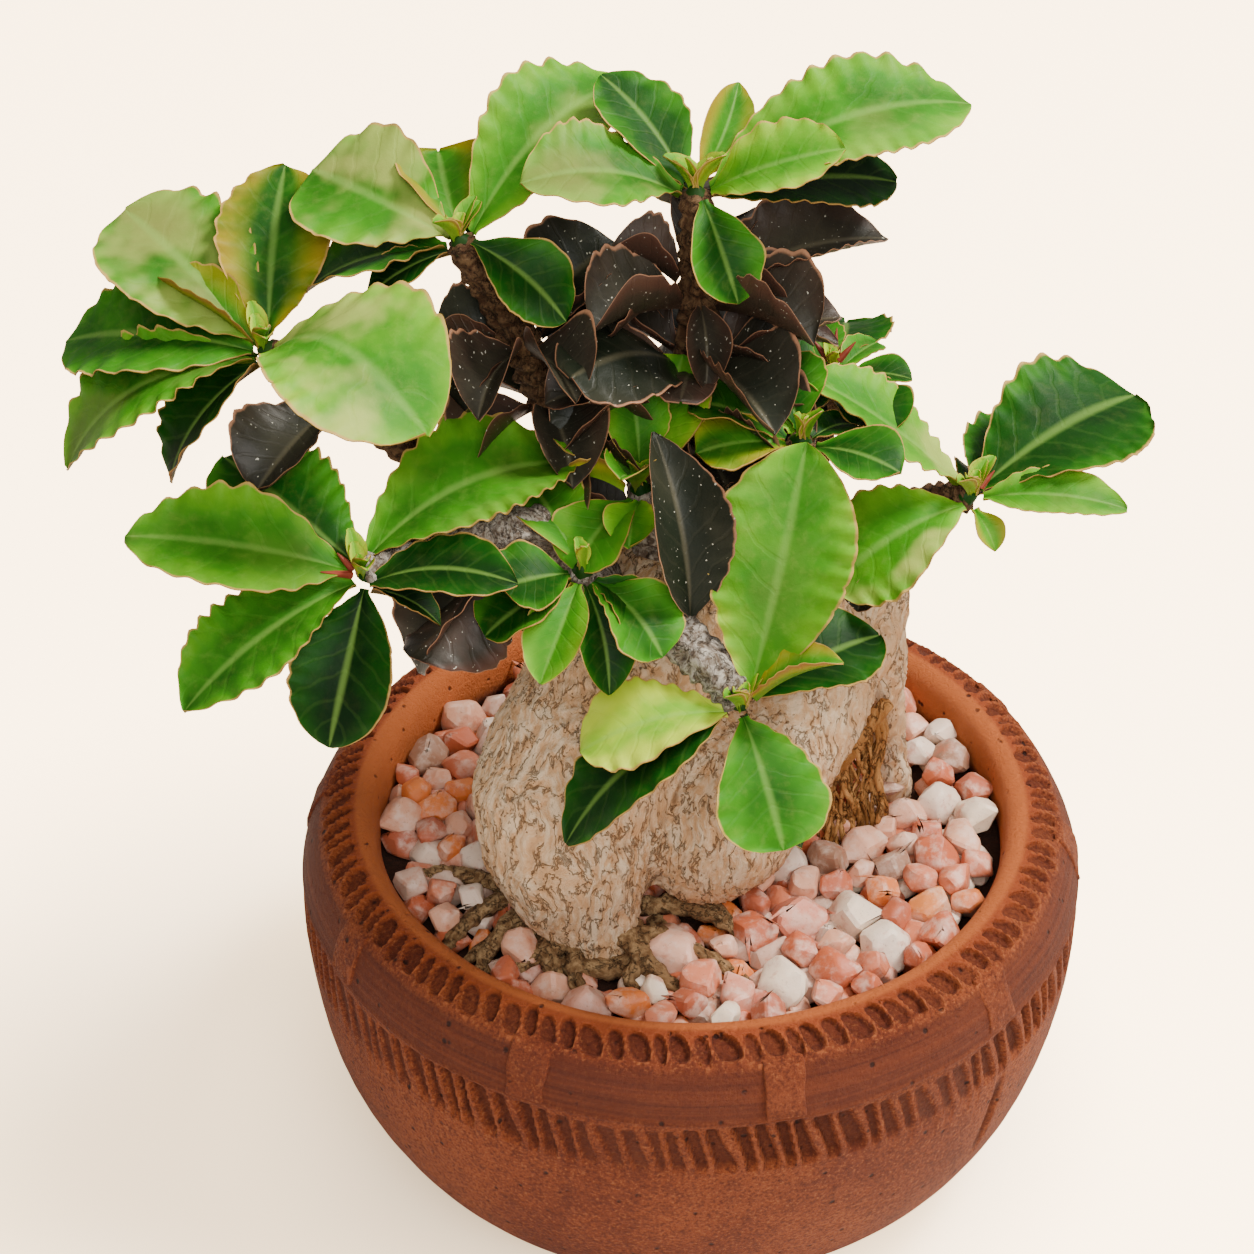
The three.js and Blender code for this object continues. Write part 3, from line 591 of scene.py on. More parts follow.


# Peeling bark: long warped fibres of one colour over another, with dark cracks and specks, and
# painted shade in its hollows.
peeling_bark, given, result = shader_group(
    "peeling_bark",
    {"Stretch": "Vector", "Fibre Scale": "Float", "Pale": "Color", "Middle": "Color", "Dark": "Color"},
    {"Color": "Color", "Height": "Float"},
)
tree = peeling_bark
place = own_place(tree)
warp_noise = {"Vector": place, "Scale": 60.0, "Detail": 3.0}
warp = put(tree, "ShaderNodeTexNoise", warp_noise).outputs["Color"]
bent = put(tree, "ShaderNodeVectorMath", {0: warp, 1: (0.012,) * 3}, operation="MULTIPLY").outputs[0]
bent = put(tree, "ShaderNodeVectorMath", {0: place, 1: bent}, operation="ADD").outputs[0]
long = put(tree, "ShaderNodeMapping", {"Vector": bent, "Scale": given["Stretch"]}).outputs[0]
fibre = speckle(tree, long, given["Fibre Scale"], 6, 0.65)
coarse = speckle(tree, long, times(tree, given["Fibre Scale"], 0.45), 5)
crack = ranged(tree, maths(tree, "ABSOLUTE", less(tree, coarse, 0.5)), 0.0, 0.022, 1, 0)
cloud = speckle(tree, place, 45, 4)
base = mixed(tree, ranged(tree, fibre, 0.38, 0.62), given["Middle"], given["Pale"])
base = mixed(tree, ranged(tree, cloud, 0.45, 0.7, 0, 0.7), base, given["Middle"])
base = mixed(tree, times(tree, crack, 0.55), base, given["Dark"])
specks = ranged(tree, speckle(tree, place, 700, 2), 0.66, 0.72, 0, 0.8)
base = mixed(tree, specks, base, given["Dark"])
# Painted shade: the hollows of the surface are darkened.
hollow = put(tree, "ShaderNodeNewGeometry").outputs["Pointiness"]
base = mixed(tree, ranged(tree, hollow, 0.42, 0.5, 0.8, 0), base, given["Dark"])
tree.links.new(base, result["Color"])
tree.links.new(less(tree, fibre, times(tree, crack, 0.5)), result["Height"])


def bark_material(name, pale, middle, dark, stretch, fibre_scale):
    """Peeling bark in three colours, with its fibres drawn out along the limb."""
    made, tree, shader = new_material(name)
    values = {"Stretch": stretch, "Fibre Scale": fibre_scale}
    values |= {"Pale": pale, "Middle": middle, "Dark": dark}
    bark = put(tree, "ShaderNodeGroup", values, node_tree=peeling_bark).outputs
    tree.links.new(bark["Color"], shader.inputs["Base Color"])
    shader.inputs["Roughness"].default_value = 0.85
    shader.inputs["Specular IOR Level"].default_value = 0.2
    tree.links.new(bumped(tree, bark["Height"], 0.0016, 0.9), shader.inputs["Normal"])
    return made


pale_bark = bark_material("pale_bark", "f3dcbe", "e0b890", "6e4c30", (1, 1, 0.3), 420)
stem_base.data.materials.append(pale_bark)
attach(stem_base, "root")
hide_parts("stem_base")


# ROOTS
# Scaly roots run out from the foot over the pebbles and fork, and a curtain of thin ones hangs
# under the arch down to the gravel. Each bunch has grown together, so each is one piece.

# Each root on the pebbles: the places its middle runs through, and its radii.
ROOT_WAYS = [
    ([(-24, -38, 93), (-28, -45, 93), (-37, -50, 91), (-47, -54, 86)], (4, 3, 2.4, 1.2)),
    ([(-22, -38, 94), (-17, -46, 94), (-10, -55, 91), (0, -63, 86)], (4.6, 3.6, 2.8, 1.2)),
    ([(-18, -44, 93), (-7, -45, 92), (4, -50, 90), (14, -56, 86)], (3, 2.6, 2.2, 1.2)),
    ([(-30, -34, 92), (-46, -31, 92), (-58, -41, 90), (-61, -48, 86)], (3.6, 2.8, 2.2, 1.2)),
    ([(-20, -36, 92), (-8, -34, 93), (6, -37, 92), (19, -46, 86)], (3.4, 3, 3, 1.4)),
    ([(-25, -38, 93), (-29, -50, 92), (-28, -57, 89), (-25, -61, 86)], (3.4, 2.4, 2, 1.2)),
    ([(-30, -32, 92), (-50, -25, 92), (-62, -19, 90), (-72, -16, 86)], (3.2, 2.4, 1.8, 1.2)),
    ([(-30, -36, 93), (-42, -38, 93), (-51, -50, 90), (-51, -56, 86)], (3.6, 2.8, 2, 1.2)),
    ([(-26, -38, 93), (-35, -46, 93), (-35, -55, 90), (-32, -60, 86)], (3.4, 2.6, 2, 1.2)),
    ([(-34, -38, 92), (-44, -44, 92), (-50, -44, 90), (-58, -52, 86)], (2.6, 2.2, 1.7, 1)),
    ([(-16, -42, 93), (-13, -50, 92), (-15, -58, 90), (-13, -64, 86)], (2.6, 2.2, 1.7, 1)),
]


def chance(seed):
    """A fixed number from 0 to 1 that looks drawn at random."""
    return (math.sin(seed * 12.9898) * 43758.5453) % 1


def scaly(seed, size):
    """Relief of a root: uneven scales round it."""

    def relief(share, angle, length):
        at = Vector((math.cos(angle) * 1.3, math.sin(angle) * 1.3 + seed, share * length * 0.34))
        return noise.noise(at) * size

    return relief


flare = limb_mesh(
    [(-38, -28, 88), (-39, -43, 88), (-31, -51, 88), (-18, -51, 88), (-9, -44, 88), (-9, -32, 88)],
    (2.4, 2.8, 2.8, 2.4),
    12,
    40,
    scaly(40, 1.4),
)
root_shapes = []
for i, (path, radii) in enumerate(ROOT_WAYS):
    slim = [radius * 0.8 for radius in radii]
    root_shapes.append(limb_mesh(path, slim, 12, 44, scaly(i * 5, 1.5)))
    beside = [
        (x + 5 * chance(i + k) - 2.5, y + 4 * chance(i * 2 + k) - 2, z + 0.6)
        for k, (x, y, z) in enumerate(path)
    ]
    thin = [radius * 0.42 for radius in radii]
    root_shapes.append(limb_mesh(beside, thin, 8, 40, scaly(i * 7, 0.9)))
surface_roots = piece_of("creeping_roots", root_shapes + [flare])

HANGING = 30
root_crest = [(30, -2, 103), (36, -1, 109), (42, 2, 116), (49, 5, 126)]
hanging_shapes = [limb_mesh(root_crest, (2, 2.4, 2.4, 2), 10, 20, scaly(60, 0.9))]
for i in range(HANGING):
    share = (i + 0.5 * chance(i)) / HANGING
    top = np.array([31 + 17 * share, -1 + 5 * share, 105 + 19 * share])
    low = np.array([30.5 + 17 * share + 3 * chance(i + 9), -11 + 9 * share + 5 * chance(i + 20), 87])
    width = 0.45 + 0.55 * chance(i + 80)
    path = []
    for k in range(7):
        curl = np.array([3.4 * chance(i * 7 + k) - 1.7, 4.4 * chance(i * 5 + k + 40) - 2.8, 0])
        path.append(tuple(top + (low - top) * k / 6 + curl * (k > 0)))
    hanging_shapes.append(limb_mesh(path, (width, width * 0.8, width), 6, 24, scaly(i * 3, 0.3)))
aerial_roots = piece_of("hanging_roots", hanging_shapes)

root_bark = bark_material("root_bark", "bc9f7a", "86694c", "2c1f17", (1, 1, 1), 420)
strand_bark = bark_material("strand_bark", "cfa06c", "a87a4a", "4a2e1a", (1, 1, 0.25), 420)
for piece, finish, node in (
    (surface_roots, root_bark, "surface_roots"),
    (aerial_roots, strand_bark, "aerial_roots"),
):
    piece.data.materials.append(finish)
    select_only(piece)
    bpy.ops.object.shade_smooth()
    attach(piece, "root")
    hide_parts(node)


# GRAVEL
# Tumbled marble pebbles, 8 to 14 mm across, pink, salmon, orange and white, two layers deep. A few
# stones are modelled as by chipping a ball with flat cuts, and copied, turned and sized.

GRAVEL_RADIUS = 79
GOLDEN_TURN = math.radians(137.508)
STONE_KINDS = 9
CHIPS = 10


def stone(seed):
    """Corners of unit size and faces of one pebble: a block with its sides chipped off flat and its
    edges worn."""
    deselect()
    bpy.ops.mesh.primitive_cube_add(size=2)
    block = bpy.context.object
    bpy.ops.object.mode_set(mode="EDIT")
    for i in range(CHIPS):
        up = 1 - 2 * (i + 0.5) / CHIPS
        around = GOLDEN_TURN * i + seed * 3.1
        flat = math.sqrt(1 - up * up)
        way = Vector((flat * math.cos(around), flat * math.sin(around), up))
        way += (Vector([chance(seed + i * k) for k in (1.3, 2.7, 3.9)]) - Vector((0.5, 0.5, 0.5))) * 0.7
        depth = 0.74 + 0.22 * chance(seed * 1.7 + i)
        way.normalize()
        bpy.ops.mesh.select_all(action="SELECT")
        bpy.ops.mesh.bisect(plane_co=way * depth, plane_no=way, use_fill=True, clear_outer=True)
    bpy.ops.mesh.select_all(action="SELECT")
    bpy.ops.mesh.remove_doubles(threshold=0.12)
    bpy.ops.mesh.bevel(offset=0.13, segments=1, affect="EDGES")
    bpy.ops.mesh.remove_doubles(threshold=0.03)
    bpy.ops.mesh.normals_make_consistent(inside=False)
    bpy.ops.object.mode_set(mode="OBJECT")
    points = np.array([v.co[:] for v in block.data.vertices])
    faces = [tuple(f.vertices) for f in block.data.polygons]
    bpy.data.objects.remove(block)
    return points, faces


STONES = [stone(k * 2.3 + 1) for k in range(STONE_KINDS)]

# Each colour with its share of the pebbles.
STONE_COLOURS = [
    ("de9070", 7),
    ("cf7a58", 6),
    ("e6b297", 5),
    ("ecd6c4", 4),
    ("f4e0c8", 2),
    ("e68e50", 4),
    ("c07458", 3),
    ("d9b8a6", 3),
    ("b08a74", 2),
]
PALETTE = [code for code, share in STONE_COLOURS for _ in range(share)]

# The biggest stones, in front of the plant: x, y, radius and colour.
BIG_STONES = [
    (-4.5, -47.6, 7.5, "eec0aa"),
    (38.3, -35.6, 7, "f8e4ce"),
    (19.8, -58.8, 6.5, "f8e4ce"),
    (25.3, -33.8, 7, "e8a088"),
    (8, -64, 5.4, "e0a08a"),
    (-25, -66.5, 6, "e3b09c"),
    (47, -44, 6, "f9e8d6"),
    (57, -32, 5.5, "e89a5e"),
]


def clear_of_plant(x, y, size):
    """True where a pebble lies beside the stem base's foot and leg."""
    foot = math.hypot(x + 23, y + 40) > 11 + size * 0.4
    lobe = math.hypot((x - 2) * 0.8, y + 26) > 9 + size * 0.3
    leg = math.hypot(x - 54, y - 18) > 5 + size * 0.5
    return foot and lobe and leg


ROOT_LINES = np.concatenate([curve_points(path, 14)[:, :2] for path, _ in ROOT_WAYS])


def near_root(x, y):
    """Distance on the level from a place to the nearest surface root."""
    return float(np.hypot(ROOT_LINES[:, 0] - x, ROOT_LINES[:, 1] - y).min())


def settled(rows):
    """Rows of pebbles pushed apart until they lie side by side, inside the bowl."""
    places = np.array([row[:2] for row in rows])
    sizes = np.array([row[3] for row in rows])
    for _ in range(80):
        apart = places[:, None] - places[None]
        gaps = np.hypot(apart[..., 0], apart[..., 1]) + np.eye(len(rows)) * 99
        overlap = np.clip((sizes[:, None] + sizes[None]) * 0.99 - gaps, 0, None)
        places += (apart / gaps[..., None] * overlap[..., None]).sum(1) * 0.3
        reach = np.hypot(places[:, 0], places[:, 1])
        places *= (np.minimum(reach, GRAVEL_RADIUS + 0.6 - sizes) / reach)[:, None]
    return [(x, y, *row[2:]) for (x, y), row in zip(places, rows)]


def scattered(count, height, seed, free):
    """A layer of pebbles wound out from the middle, where free(x, y, size) is true, as rows of x,
    y, z, size and colour code."""
    rows = []
    for i in range(count):
        radius = (GRAVEL_RADIUS - 4) * math.sqrt((i + 0.5) / count)
        around = GOLDEN_TURN * i + seed
        size = 3.5 + 2.2 * chance(seed + i + 0.3)
        x, y = radius * math.cos(around), radius * math.sin(around)
        if clear_of_plant(x, y, size) and free(x, y, size):
            code = PALETTE[int(chance(seed + i + 0.6) * len(PALETTE))]
            rise = 1.4 * chance(seed + i + 0.4) + 1.6 * max(0, radius / GRAVEL_RADIUS - 0.4)
            rows.append((x, y, height + rise, size, code))
    return rows


def free_on_top(x, y, size):
    """True where the top layer has no root and no big stone."""
    covered = any(math.hypot(x - bx, y - by) < big for bx, by, big, _ in BIG_STONES)
    return not covered and near_root(x, y) > size * 0.5 + 1.2


big_rows = [(x, y, 91 - size * 0.25, size, code) for x, y, size, code in BIG_STONES]
pebble_rows = scattered(230, 85, 0, lambda x, y, size: True)
pebble_rows += settled(big_rows + scattered(245, 90, 700, free_on_top))

shapes, tints = [], []
for i, (x, y, z, size, code) in enumerate(pebble_rows):
    corners, faces = STONES[i % STONE_KINDS]
    turn = Matrix.Rotation(chance(i + 0.7) * 6.28, 3, "Z")
    turn = turn @ Matrix.Rotation(chance(i + 0.8) * 0.8, 3, "X")
    spin = Matrix.Rotation(chance(i + 0.9) * 6.28, 3, (chance(i), chance(i + 2), 1))
    stretch = size * np.array([1 + 0.2 * chance(i + 5), 0.85 + 0.2 * chance(i + 6), 0.85])
    placed = (corners @ np.array(spin).T) * stretch @ np.array(turn).T + np.array([x, y, z])
    shapes.append((placed, faces))
    tints.extend([colour(code)] * len(corners))
gravel = piece_of("pebbles", shapes)
mark_corners(gravel, "stone", tints)
select_only(gravel)
bpy.ops.object.shade_smooth_by_angle(angle=math.radians(28))

marble, tree, shader = new_material("marble")
place = own_place(tree)
tint = put(tree, "ShaderNodeAttribute", attribute_name="stone").outputs["Color"]
cloud = speckle(tree, place, 190, 6, 0.65)
base = mixed(tree, ranged(tree, cloud, 0.45, 0.65, 0, 0.45), tint, "f4e2d4")
blush = ranged(tree, speckle(tree, place, 170, 5), 0.54, 0.68, 0, 0.55)
base = mixed(tree, blush, base, "cc7c5c")
dots = ranged(tree, speckle(tree, place, 1200, 3), 0.6, 0.72, 0, 0.4)
base = mixed(tree, dots, base, "9a6a52")
tree.links.new(base, shader.inputs["Base Color"])
shader.inputs["Roughness"].default_value = 0.48
shader.inputs["Subsurface Weight"].default_value = 0.12
shader.inputs["Subsurface Radius"].default_value = (0.004, 0.002, 0.0015)
tree.links.new(bumped(tree, speckle(tree, place, 500, 5), 0.0005, 0.5), shader.inputs["Normal"])
gravel.data.materials.append(marble)
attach(gravel, "root")
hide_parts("gravel")


# STEMS
# Ten bare shoots rise from the stem base. Their bark is a close pattern of raised leaf scars,
# brown on the upper ones and grey with pale specks on the two that lean forward.

# Each stem: the places its middle runs through, and its radii from foot to tip.
STEMS = {
    "upper_left": ([(-30, -8, 176), (-46, -7, 192), (-70, -6, 212), (-97, -8, 236)], (6, 5, 4.2, 3.6)),
    "top_left": ([(-20, -2, 184), (-32, 0, 212), (-41, 0, 236), (-53, 0, 259)], (6, 5, 4.6, 3.8)),
    "top": ([(0, -2, 184), (-1, 1, 214), (0, 3, 244), (-1, 4, 269)], (6.5, 5.2, 4.6, 3.8)),
    "right": ([(32, 6, 168), (46, 0, 184), (56, -5, 193), (63, -8, 197)], (6, 5, 4.5, 3.6)),
    "lower_left": ([(-30, -16, 188), (-38, -28, 202), (-56, -37, 203), (-74, -42, 199)], (6, 5, 4.6, 3.8)),
    "front": ([(-8, -20, 172), (-6, -38, 181), (2, -47, 178), (9, -54, 172)], (7, 6, 5.4, 3.8)),
    "middle": ([(-9, -12, 184), (-11, -16, 196), (-13, -20, 207)], (6, 5, 3.6)),
    "left": ([(-22, -20, 180), (-25, -32, 190), (-26, -38, 197)], (6, 5, 3.6)),
    "right_middle": ([(16, -8, 184), (20, -14, 202), (23, -18, 218)], (6, 5, 3.6)),
    "back_right": ([(22, 8, 180), (28, 14, 198), (32, 18, 214)], (6, 5, 3.6)),
}


def along_stem(name, share):
    """The place at a share of a stem's path, the way it runs there and its radius."""
    path, radii = STEMS[name]
    points = curve_points(path, 200)
    k = int(share * 200)
    way = points[min(k + 1, 200)] - points[max(k - 1, 0)]
    radius = np.interp(share, np.linspace(0, 1, len(radii)), radii)
    return points[k], way / np.linalg.norm(way), float(radius)


def scarred(seed):
    """Relief of a stem: rows of raised leaf scars that wind round it."""

    def relief(share, angle, length):
        row = share * length / 4.4
        knob = math.cos(2.5 * angle + row * math.pi + seed) * math.cos(2.5 * angle - row * math.pi)
        at = Vector((math.cos(angle), math.sin(angle) + seed, share * length * 0.3))
        return 0.75 * knob + 0.9 * noise.noise(at * 1.4) - 0.2

    return relief


brown_bark = bark_material("brown_bark", "8d7358", "654b37", "2a1d15", (1, 1, 1), 520)
grey_bark = bark_material("grey_bark", "cfc6ba", "857668", "3a2f28", (1, 1, 0.8), 620)
GREY_STEMS = ("lower_left", "front", "middle", "left")

for i, (name, (path, radii)) in enumerate(STEMS.items()):
    span = np.linalg.norm(np.diff(np.array(path), axis=0), axis=1).sum()
    stem = piece_of(name + "_shoot", [limb_mesh(path, radii, 26, int(span * 1.3), scarred(i))])
    stem.data.materials.append(grey_bark if name in GREY_STEMS else brown_bark)
    select_only(stem)
    bpy.ops.object.shade_smooth()
    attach(stem, "root")
    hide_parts(name + "_stem")


# LEAVES
# Leathery leaves grow in a rosette at each shoot's end, and dark old ones hang on below it. Every
# leaf widens from a wedge base to a round tip, with a crisped edge that has a thin pale rim.

TIP_REACH = 3.6  # from the middle of a shoot's tip to a leaf's base
LEAF_BASE = 1.2  # half the width of a leaf's base
BLADE = 0.55  # thickness
EDGE_WAVE = 0.95
WAVE_LENGTH = 4.8
SHORT_WIDER = 1.2
OLD_LONGER = 1.06
OLD_WIDER = 1.2
OLD_SPREAD = 4  # up and down the stem

# Places of a blade's corners across it, from edge to edge, closer by the edges and the midrib.
LEAF_COLUMNS = (-1, -0.93, -0.78, -0.55, -0.28, -0.07, 0, 0.07, 0.28, 0.55, 0.78, 0.93, 1)

# The green leaves of each shoot. A row gives a leaf's length and width in millimetres, where it
# heads (degrees from +X), how steeply it rises, its roll, how far it arches as a share of its
# length and how far its sides cup (degrees). Then come how yellow it is, from dark green at 0, and
# how much cream is clouded into it, or below 0 how bronze its sides are.
GREEN_LEAVES = {
    "upper_left": [
        (48, 42, -42, -1, 14, 0.28, 8, 0.62, 0.9),
        (41, 27, 86, 37, 4, 0.05, 8, 0.42, -1),
        (46, 36, 137, 21, -14, 0.1, 8, 0.45, 0.6),
        (28, 16, 150, 15, 0, 0.12, 45, 0.55, -0.7),
        (46, 34, 163, -7, -15, 0.1, 8, 0.4, 0),
        (50, 32, -172, -30, -8, 0.2, 12, 0.5, 0.2),
        (34, 22, 155, -30, 0, 0.1, 10, 0.12, 0),
        (34, 22, -160, -50, 0, 0.12, 15, 0.1, 0),
        (42, 28, 112, -8, 0, 0.1, 10, 0.3, 0),
    ],
    "top_left": [
        (37, 34, 147, 9, -25, 0.08, 8, 0.5, 0.8),
        (24, 23, 103, 18, 0, 0.05, 20, 0.55, -1),
        (54, 30, 46, 20, 12, 0.16, 12, 0.58, 0.3),
        (32, 16, 57, 1, 0, 0.1, 20, 0.08, 0),
        (26, 20, -20, -36, 25, 0.1, 10, 0.2, 0),
        (20, 13, -168, -28, -10, 0.1, 10, 0.08, 0),
        (34, 22, 110, -10, 0, 0.1, 10, 0.3, 0),
        (34, 24, 172, -22, 0, 0.1, 10, 0.3, 0),
    ],
    "top": [
        (61, 33, 17, 11, 15, 0.17, 6, 0.55, 0.2),
        (31, 21, -12, 24, 25, 0.1, 12, 0.66, 0.1),
        (25, 12, 67, 32, 30, 0.05, 20, 0.55, -1),
        (45, 25, 21, -8, 20, 0.1, 12, 0.08, 0),
        (23, 18, -62, -48, 0, 0.1, 8, 0.36, 0),
        (35, 26, -168, 10, -18, 0.12, 10, 0.46, 0.5),
        (30, 20, 136, 33, -10, 0.05, 10, 0.3, 0),
        (13, 9, 150, 7, -10, 0.1, 40, 0.5, 0),
        (34, 24, 95, -35, 0, 0.1, 10, 0.25, 0),
    ],
    "right": [
        (46, 24, 170, 34, 0, 0.05, 10, 0.62, 0.8),
        (35, 32, -158, -24, -12, 0.12, 6, 0.64, 1),
        (46, 38, 33, 12, 10, 0.1, 8, 0.22, 0),
        (32, 15, -12, 2, 18, 0.1, 12, 0.6, 0.2),
        (10, 8, -60, -35, 0, 0.1, 20, 0.6, -0.8),
        (38, 26, 58, -8, 0, 0.1, 10, 0.25, 0),
        (34, 24, 65, -32, 0, 0.1, 10, 0.2, 0),
    ],
    "lower_left": [
        (52, 36, 24, 14, 6, 0.13, 12, 0.5, 0.1),
        (42, 30, 139, 14, -10, 0.08, 8, 0.36, 0),
        (49, 30, -178, 12, -16, 0.1, 8, 0.55, 0.1),
        (46, 27, -149, -24, -8, 0.14, 12, 0.46, 0),
        (35, 25, -108, -48, 0, 0.1, 8, 0.08, 0),
        (34, 19, -17, 11, 14, 0.1, 10, 0.16, 0),
        (16, 10, -15, -25, 0, 0.1, 20, 0.1, 0),
        (34, 14, 49, -1, 0, 0.1, 15, 0.1, 0),
    ],
    "front": [
        (56, 34, 67, 57, 3, 0.05, 6, 0.6, 0.1),
        (33, 26, -170, -12, -8, 0.1, 6, 0.95, 0.3),
        (46, 24, -158, -34, -10, 0.14, 10, 0.12, 0),
        (30, 28, -66, -46, 0, 0.1, 6, 0.46, 0),
        (22, 14, -10, 32, 0, 0.1, 35, 0.6, -1),
        (34, 24, 32, 5, 12, 0.1, 8, 0.14, 0),
        (34, 16, -36, -62, 0, 0.1, 10, 0.06, 0),
    ],
    "middle": [
        (20, 16, 50, 48, 0, 0.1, 12, 0.74, 0),
        (13, 12, 178, 12, 40, 0.1, 20, 0.9, -0.5),
        (12, 12, -110, 40, 0, 0.1, 30, 0.5, 0),
        (12, 12, -100, -20, 0, 0.1, 30, 0.6, 0),
        (27, 19, 62, 50, 0, 0.05, 12, 0.68, 0),
        (21, 13, 104, 62, 0, 0.05, 14, 0.5, 0),
        (21, 17, -128, -22, 0, 0.1, 14, 0.5, 0),
        (22, 19, 140, 16, 0, 0.1, 14, 0.5, 0),
        (17, 15, 95, 34, 0, 0.1, 20, 0.7, 0),
    ],
    "left": [
        (14, 15, 77, 20, 0, 0.1, -10, 0.45, 0),
        (16, 16, -152, 6, -20, 0.1, 10, 0.3, 0),
        (16, 12, -160, -52, 0, 0.1, 30, 0.45, 0),
        (17, 15, -30, -32, 0, 0.1, 10, 0.25, 0),
        (24, 13, -112, -30, 0, 0.1, 20, 0.6, 0),
        (24, 12, -72, -48, 0, 0.1, 20, 0.2, 0),
        (22, 19, -40, -30, 0, 0.1, 12, 0.42, 0),
        (22, 18, -150, -20, 0, 0.1, 12, 0.3, 0),
        (19, 16, 120, 22, 0, 0.1, 12, 0.5, 0),
    ],
    "right_middle": [
        (20, 14, 124, 5, 0, 0.2, -20, 0.7, -0.2),
        (20, 16, -165, 2, -10, 0.1, 10, 0.5, -0.8),
        (20, 15, -30, 0, 10, 0.1, 10, 0.3, 0),
        (14, 10, 44, -13, 0, 0.1, 10, 0.12, 0),
        (22, 18, 165, 14, 0, 0.1, 14, 0.35, 0),
        (20, 16, 100, 20, 0, 0.1, 14, 0.3, 0),
    ],
    "back_right": [
        (14, 12, 104, 5, 0, 0.1, 10, 0.35, 0),
        (12, 9, 45, 6, 0, 0.1, 15, 0.5, 0),
        (15, 10, -20, 8, 0, 0.1, 15, 0.3, 0),
        (28, 20, 80, -8, 0, 0.1, 10, 0.2, 0),
        (28, 18, 110, -30, 0, 0.1, 10, 0.2, 0),
        (22, 17, -62, -4, 0, 0.1, 14, 0.16, 0),
        (20, 16, -120, 2, 0, 0.1, 14, 0.2, 0),
        (20, 16, 150, 10, 0, 0.1, 14, 0.3, 0),
    ],
}
SHORT_SHOOTS = ("middle", "left", "right_middle", "back_right")

# The old leaves, in tiers down the stem: the share of the stem's length that a tier grows from, a
# number for its chances, and its leaves, in rows as above as far as the cupping.
OLD_LEAVES = {
    "upper_left": [
        (0.82, 3, [(24, 19, -128, -22, 0, 0.1, 14)]),
    ],
    "top_left": [
        (0.64, 8, [
            (25, 20, 36, 32, 20, 0.1, 15),
            (20, 15, 40, -3, 10, 0.1, 35),
            (14, 13, 180, 4, -10, 0.1, 45),
            (15, 14, -140, -40, -10, 0.1, 45),
        ]),
        (0.64, 20.2, [
            (20, 17, -60, -6, 0, 0.1, 42),
            (21, 18, -110, -12, 0, 0.1, 42),
            (20, 16, 100, 0, 0, 0.1, 30),
            (22, 18, 20, 4, 0, 0.1, 42),
        ]),
        (0.44, 14.2, [
            (22, 18, -20, -10, 0, 0.1, 36),
            (21, 18, -75, -22, 0, 0.1, 36),
            (20, 17, -135, -24, 0, 0.1, 40),
            (22, 18, 60, -6, 0, 0.1, 30),
            (22, 17, 150, -12, 0, 0.1, 30),
        ]),
        (0.28, 9.4, [
            (24, 19, -35, -14, 0, 0.1, 34),
            (22, 18, 35, -6, 0, 0.1, 30),
            (22, 18, -95, -30, 0, 0.1, 30),
        ]),
    ],
    "top": [
        (0.7, 13, [
            (16, 12, 175, 22, 0, 0.1, 40),
            (16, 13, -13, -10, 0, 0.1, 40),
            (18, 15, -160, -24, 0, 0.1, 20),
            (18, 10, -85, -50, 0, 0.1, 30),
            (39, 20, 18, 5, 10, 0.1, 12),
        ]),
        (0.66, 21.8, [
            (22, 19, -150, -2, 0, 0.1, 42),
            (24, 20, -32, -6, 0, 0.1, 42),
            (26, 20, 75, 5, 0, 0.1, 20),
        ]),
        (0.5, 17, [
            (26, 21, -58, -8, 0, 0.1, 34),
            (25, 20, 158, 4, 0, 0.1, 30),
            (26, 21, 100, -4, 0, 0.1, 20),
            (26, 20, 48, -2, 0, 0.1, 20),
        ]),
        (0.3, 11, [
            (28, 20, -70, -22, 0, 0.14, 30),
            (26, 21, -40, 4, 0, 0.1, 25),
            (25, 20, 0, 0, 0, 0.1, 25),
            (26, 21, 60, -8, 0, 0.1, 20),
            (26, 20, 120, -8, 0, 0.1, 20),
            (24, 20, -160, 6, 0, 0.1, 30),
        ]),
    ],
    "top_low": [
        (0.48, 16, [
            (28, 18, 6, 16, 10, 0.1, 20),
            (27, 14, 10, 2, 0, 0.1, 20),
            (30, 26, -142, 14, -15, 0.14, -20),
            (15, 13, -100, 6, 0, 0.1, -20),
            (30, 20, -158, -5, -20, 0.1, 20),
            (32, 18, -152, -24, -10, 0.1, 30),
            (20, 12, -70, -46, 0, 0.1, 20),
            (18, 12, -30, 8, 0, 0.2, 20),
        ]),
    ],
    "right": [
        (0.45, 18, [
            (28, 22, -150, -34, 0, 0.1, 10),
            (20, 14, -128, -40, 0, 0.1, 20),
        ]),
    ],
    "lower_left": [
        (0.45, 23, [
            (29, 20, -134, -29, 180, 0.1, 12),
            (32, 20, -150, -52, 0, 0.1, 10),
        ]),
    ],
    "front": [
        (0.5, 28, [(40, 17, 113, 60, 0, 0.12, 22)]),
    ],
    "middle": [
        (0.46, 33, [(22, 15, 16, 14, 0, 0.1, 10)]),
        (0.4, 18, [(19, 16, 165, 8, 0, 0.1, 30)]),
    ],
}


def leaf_way(leaf):
    """The way a leaf points, from its row."""
    heading, rise = math.radians(leaf[2]), math.radians(leaf[3])
    return np.array(
        [math.cos(rise) * math.cos(heading), math.cos(rise) * math.sin(heading), math.sin(rise)]
    )


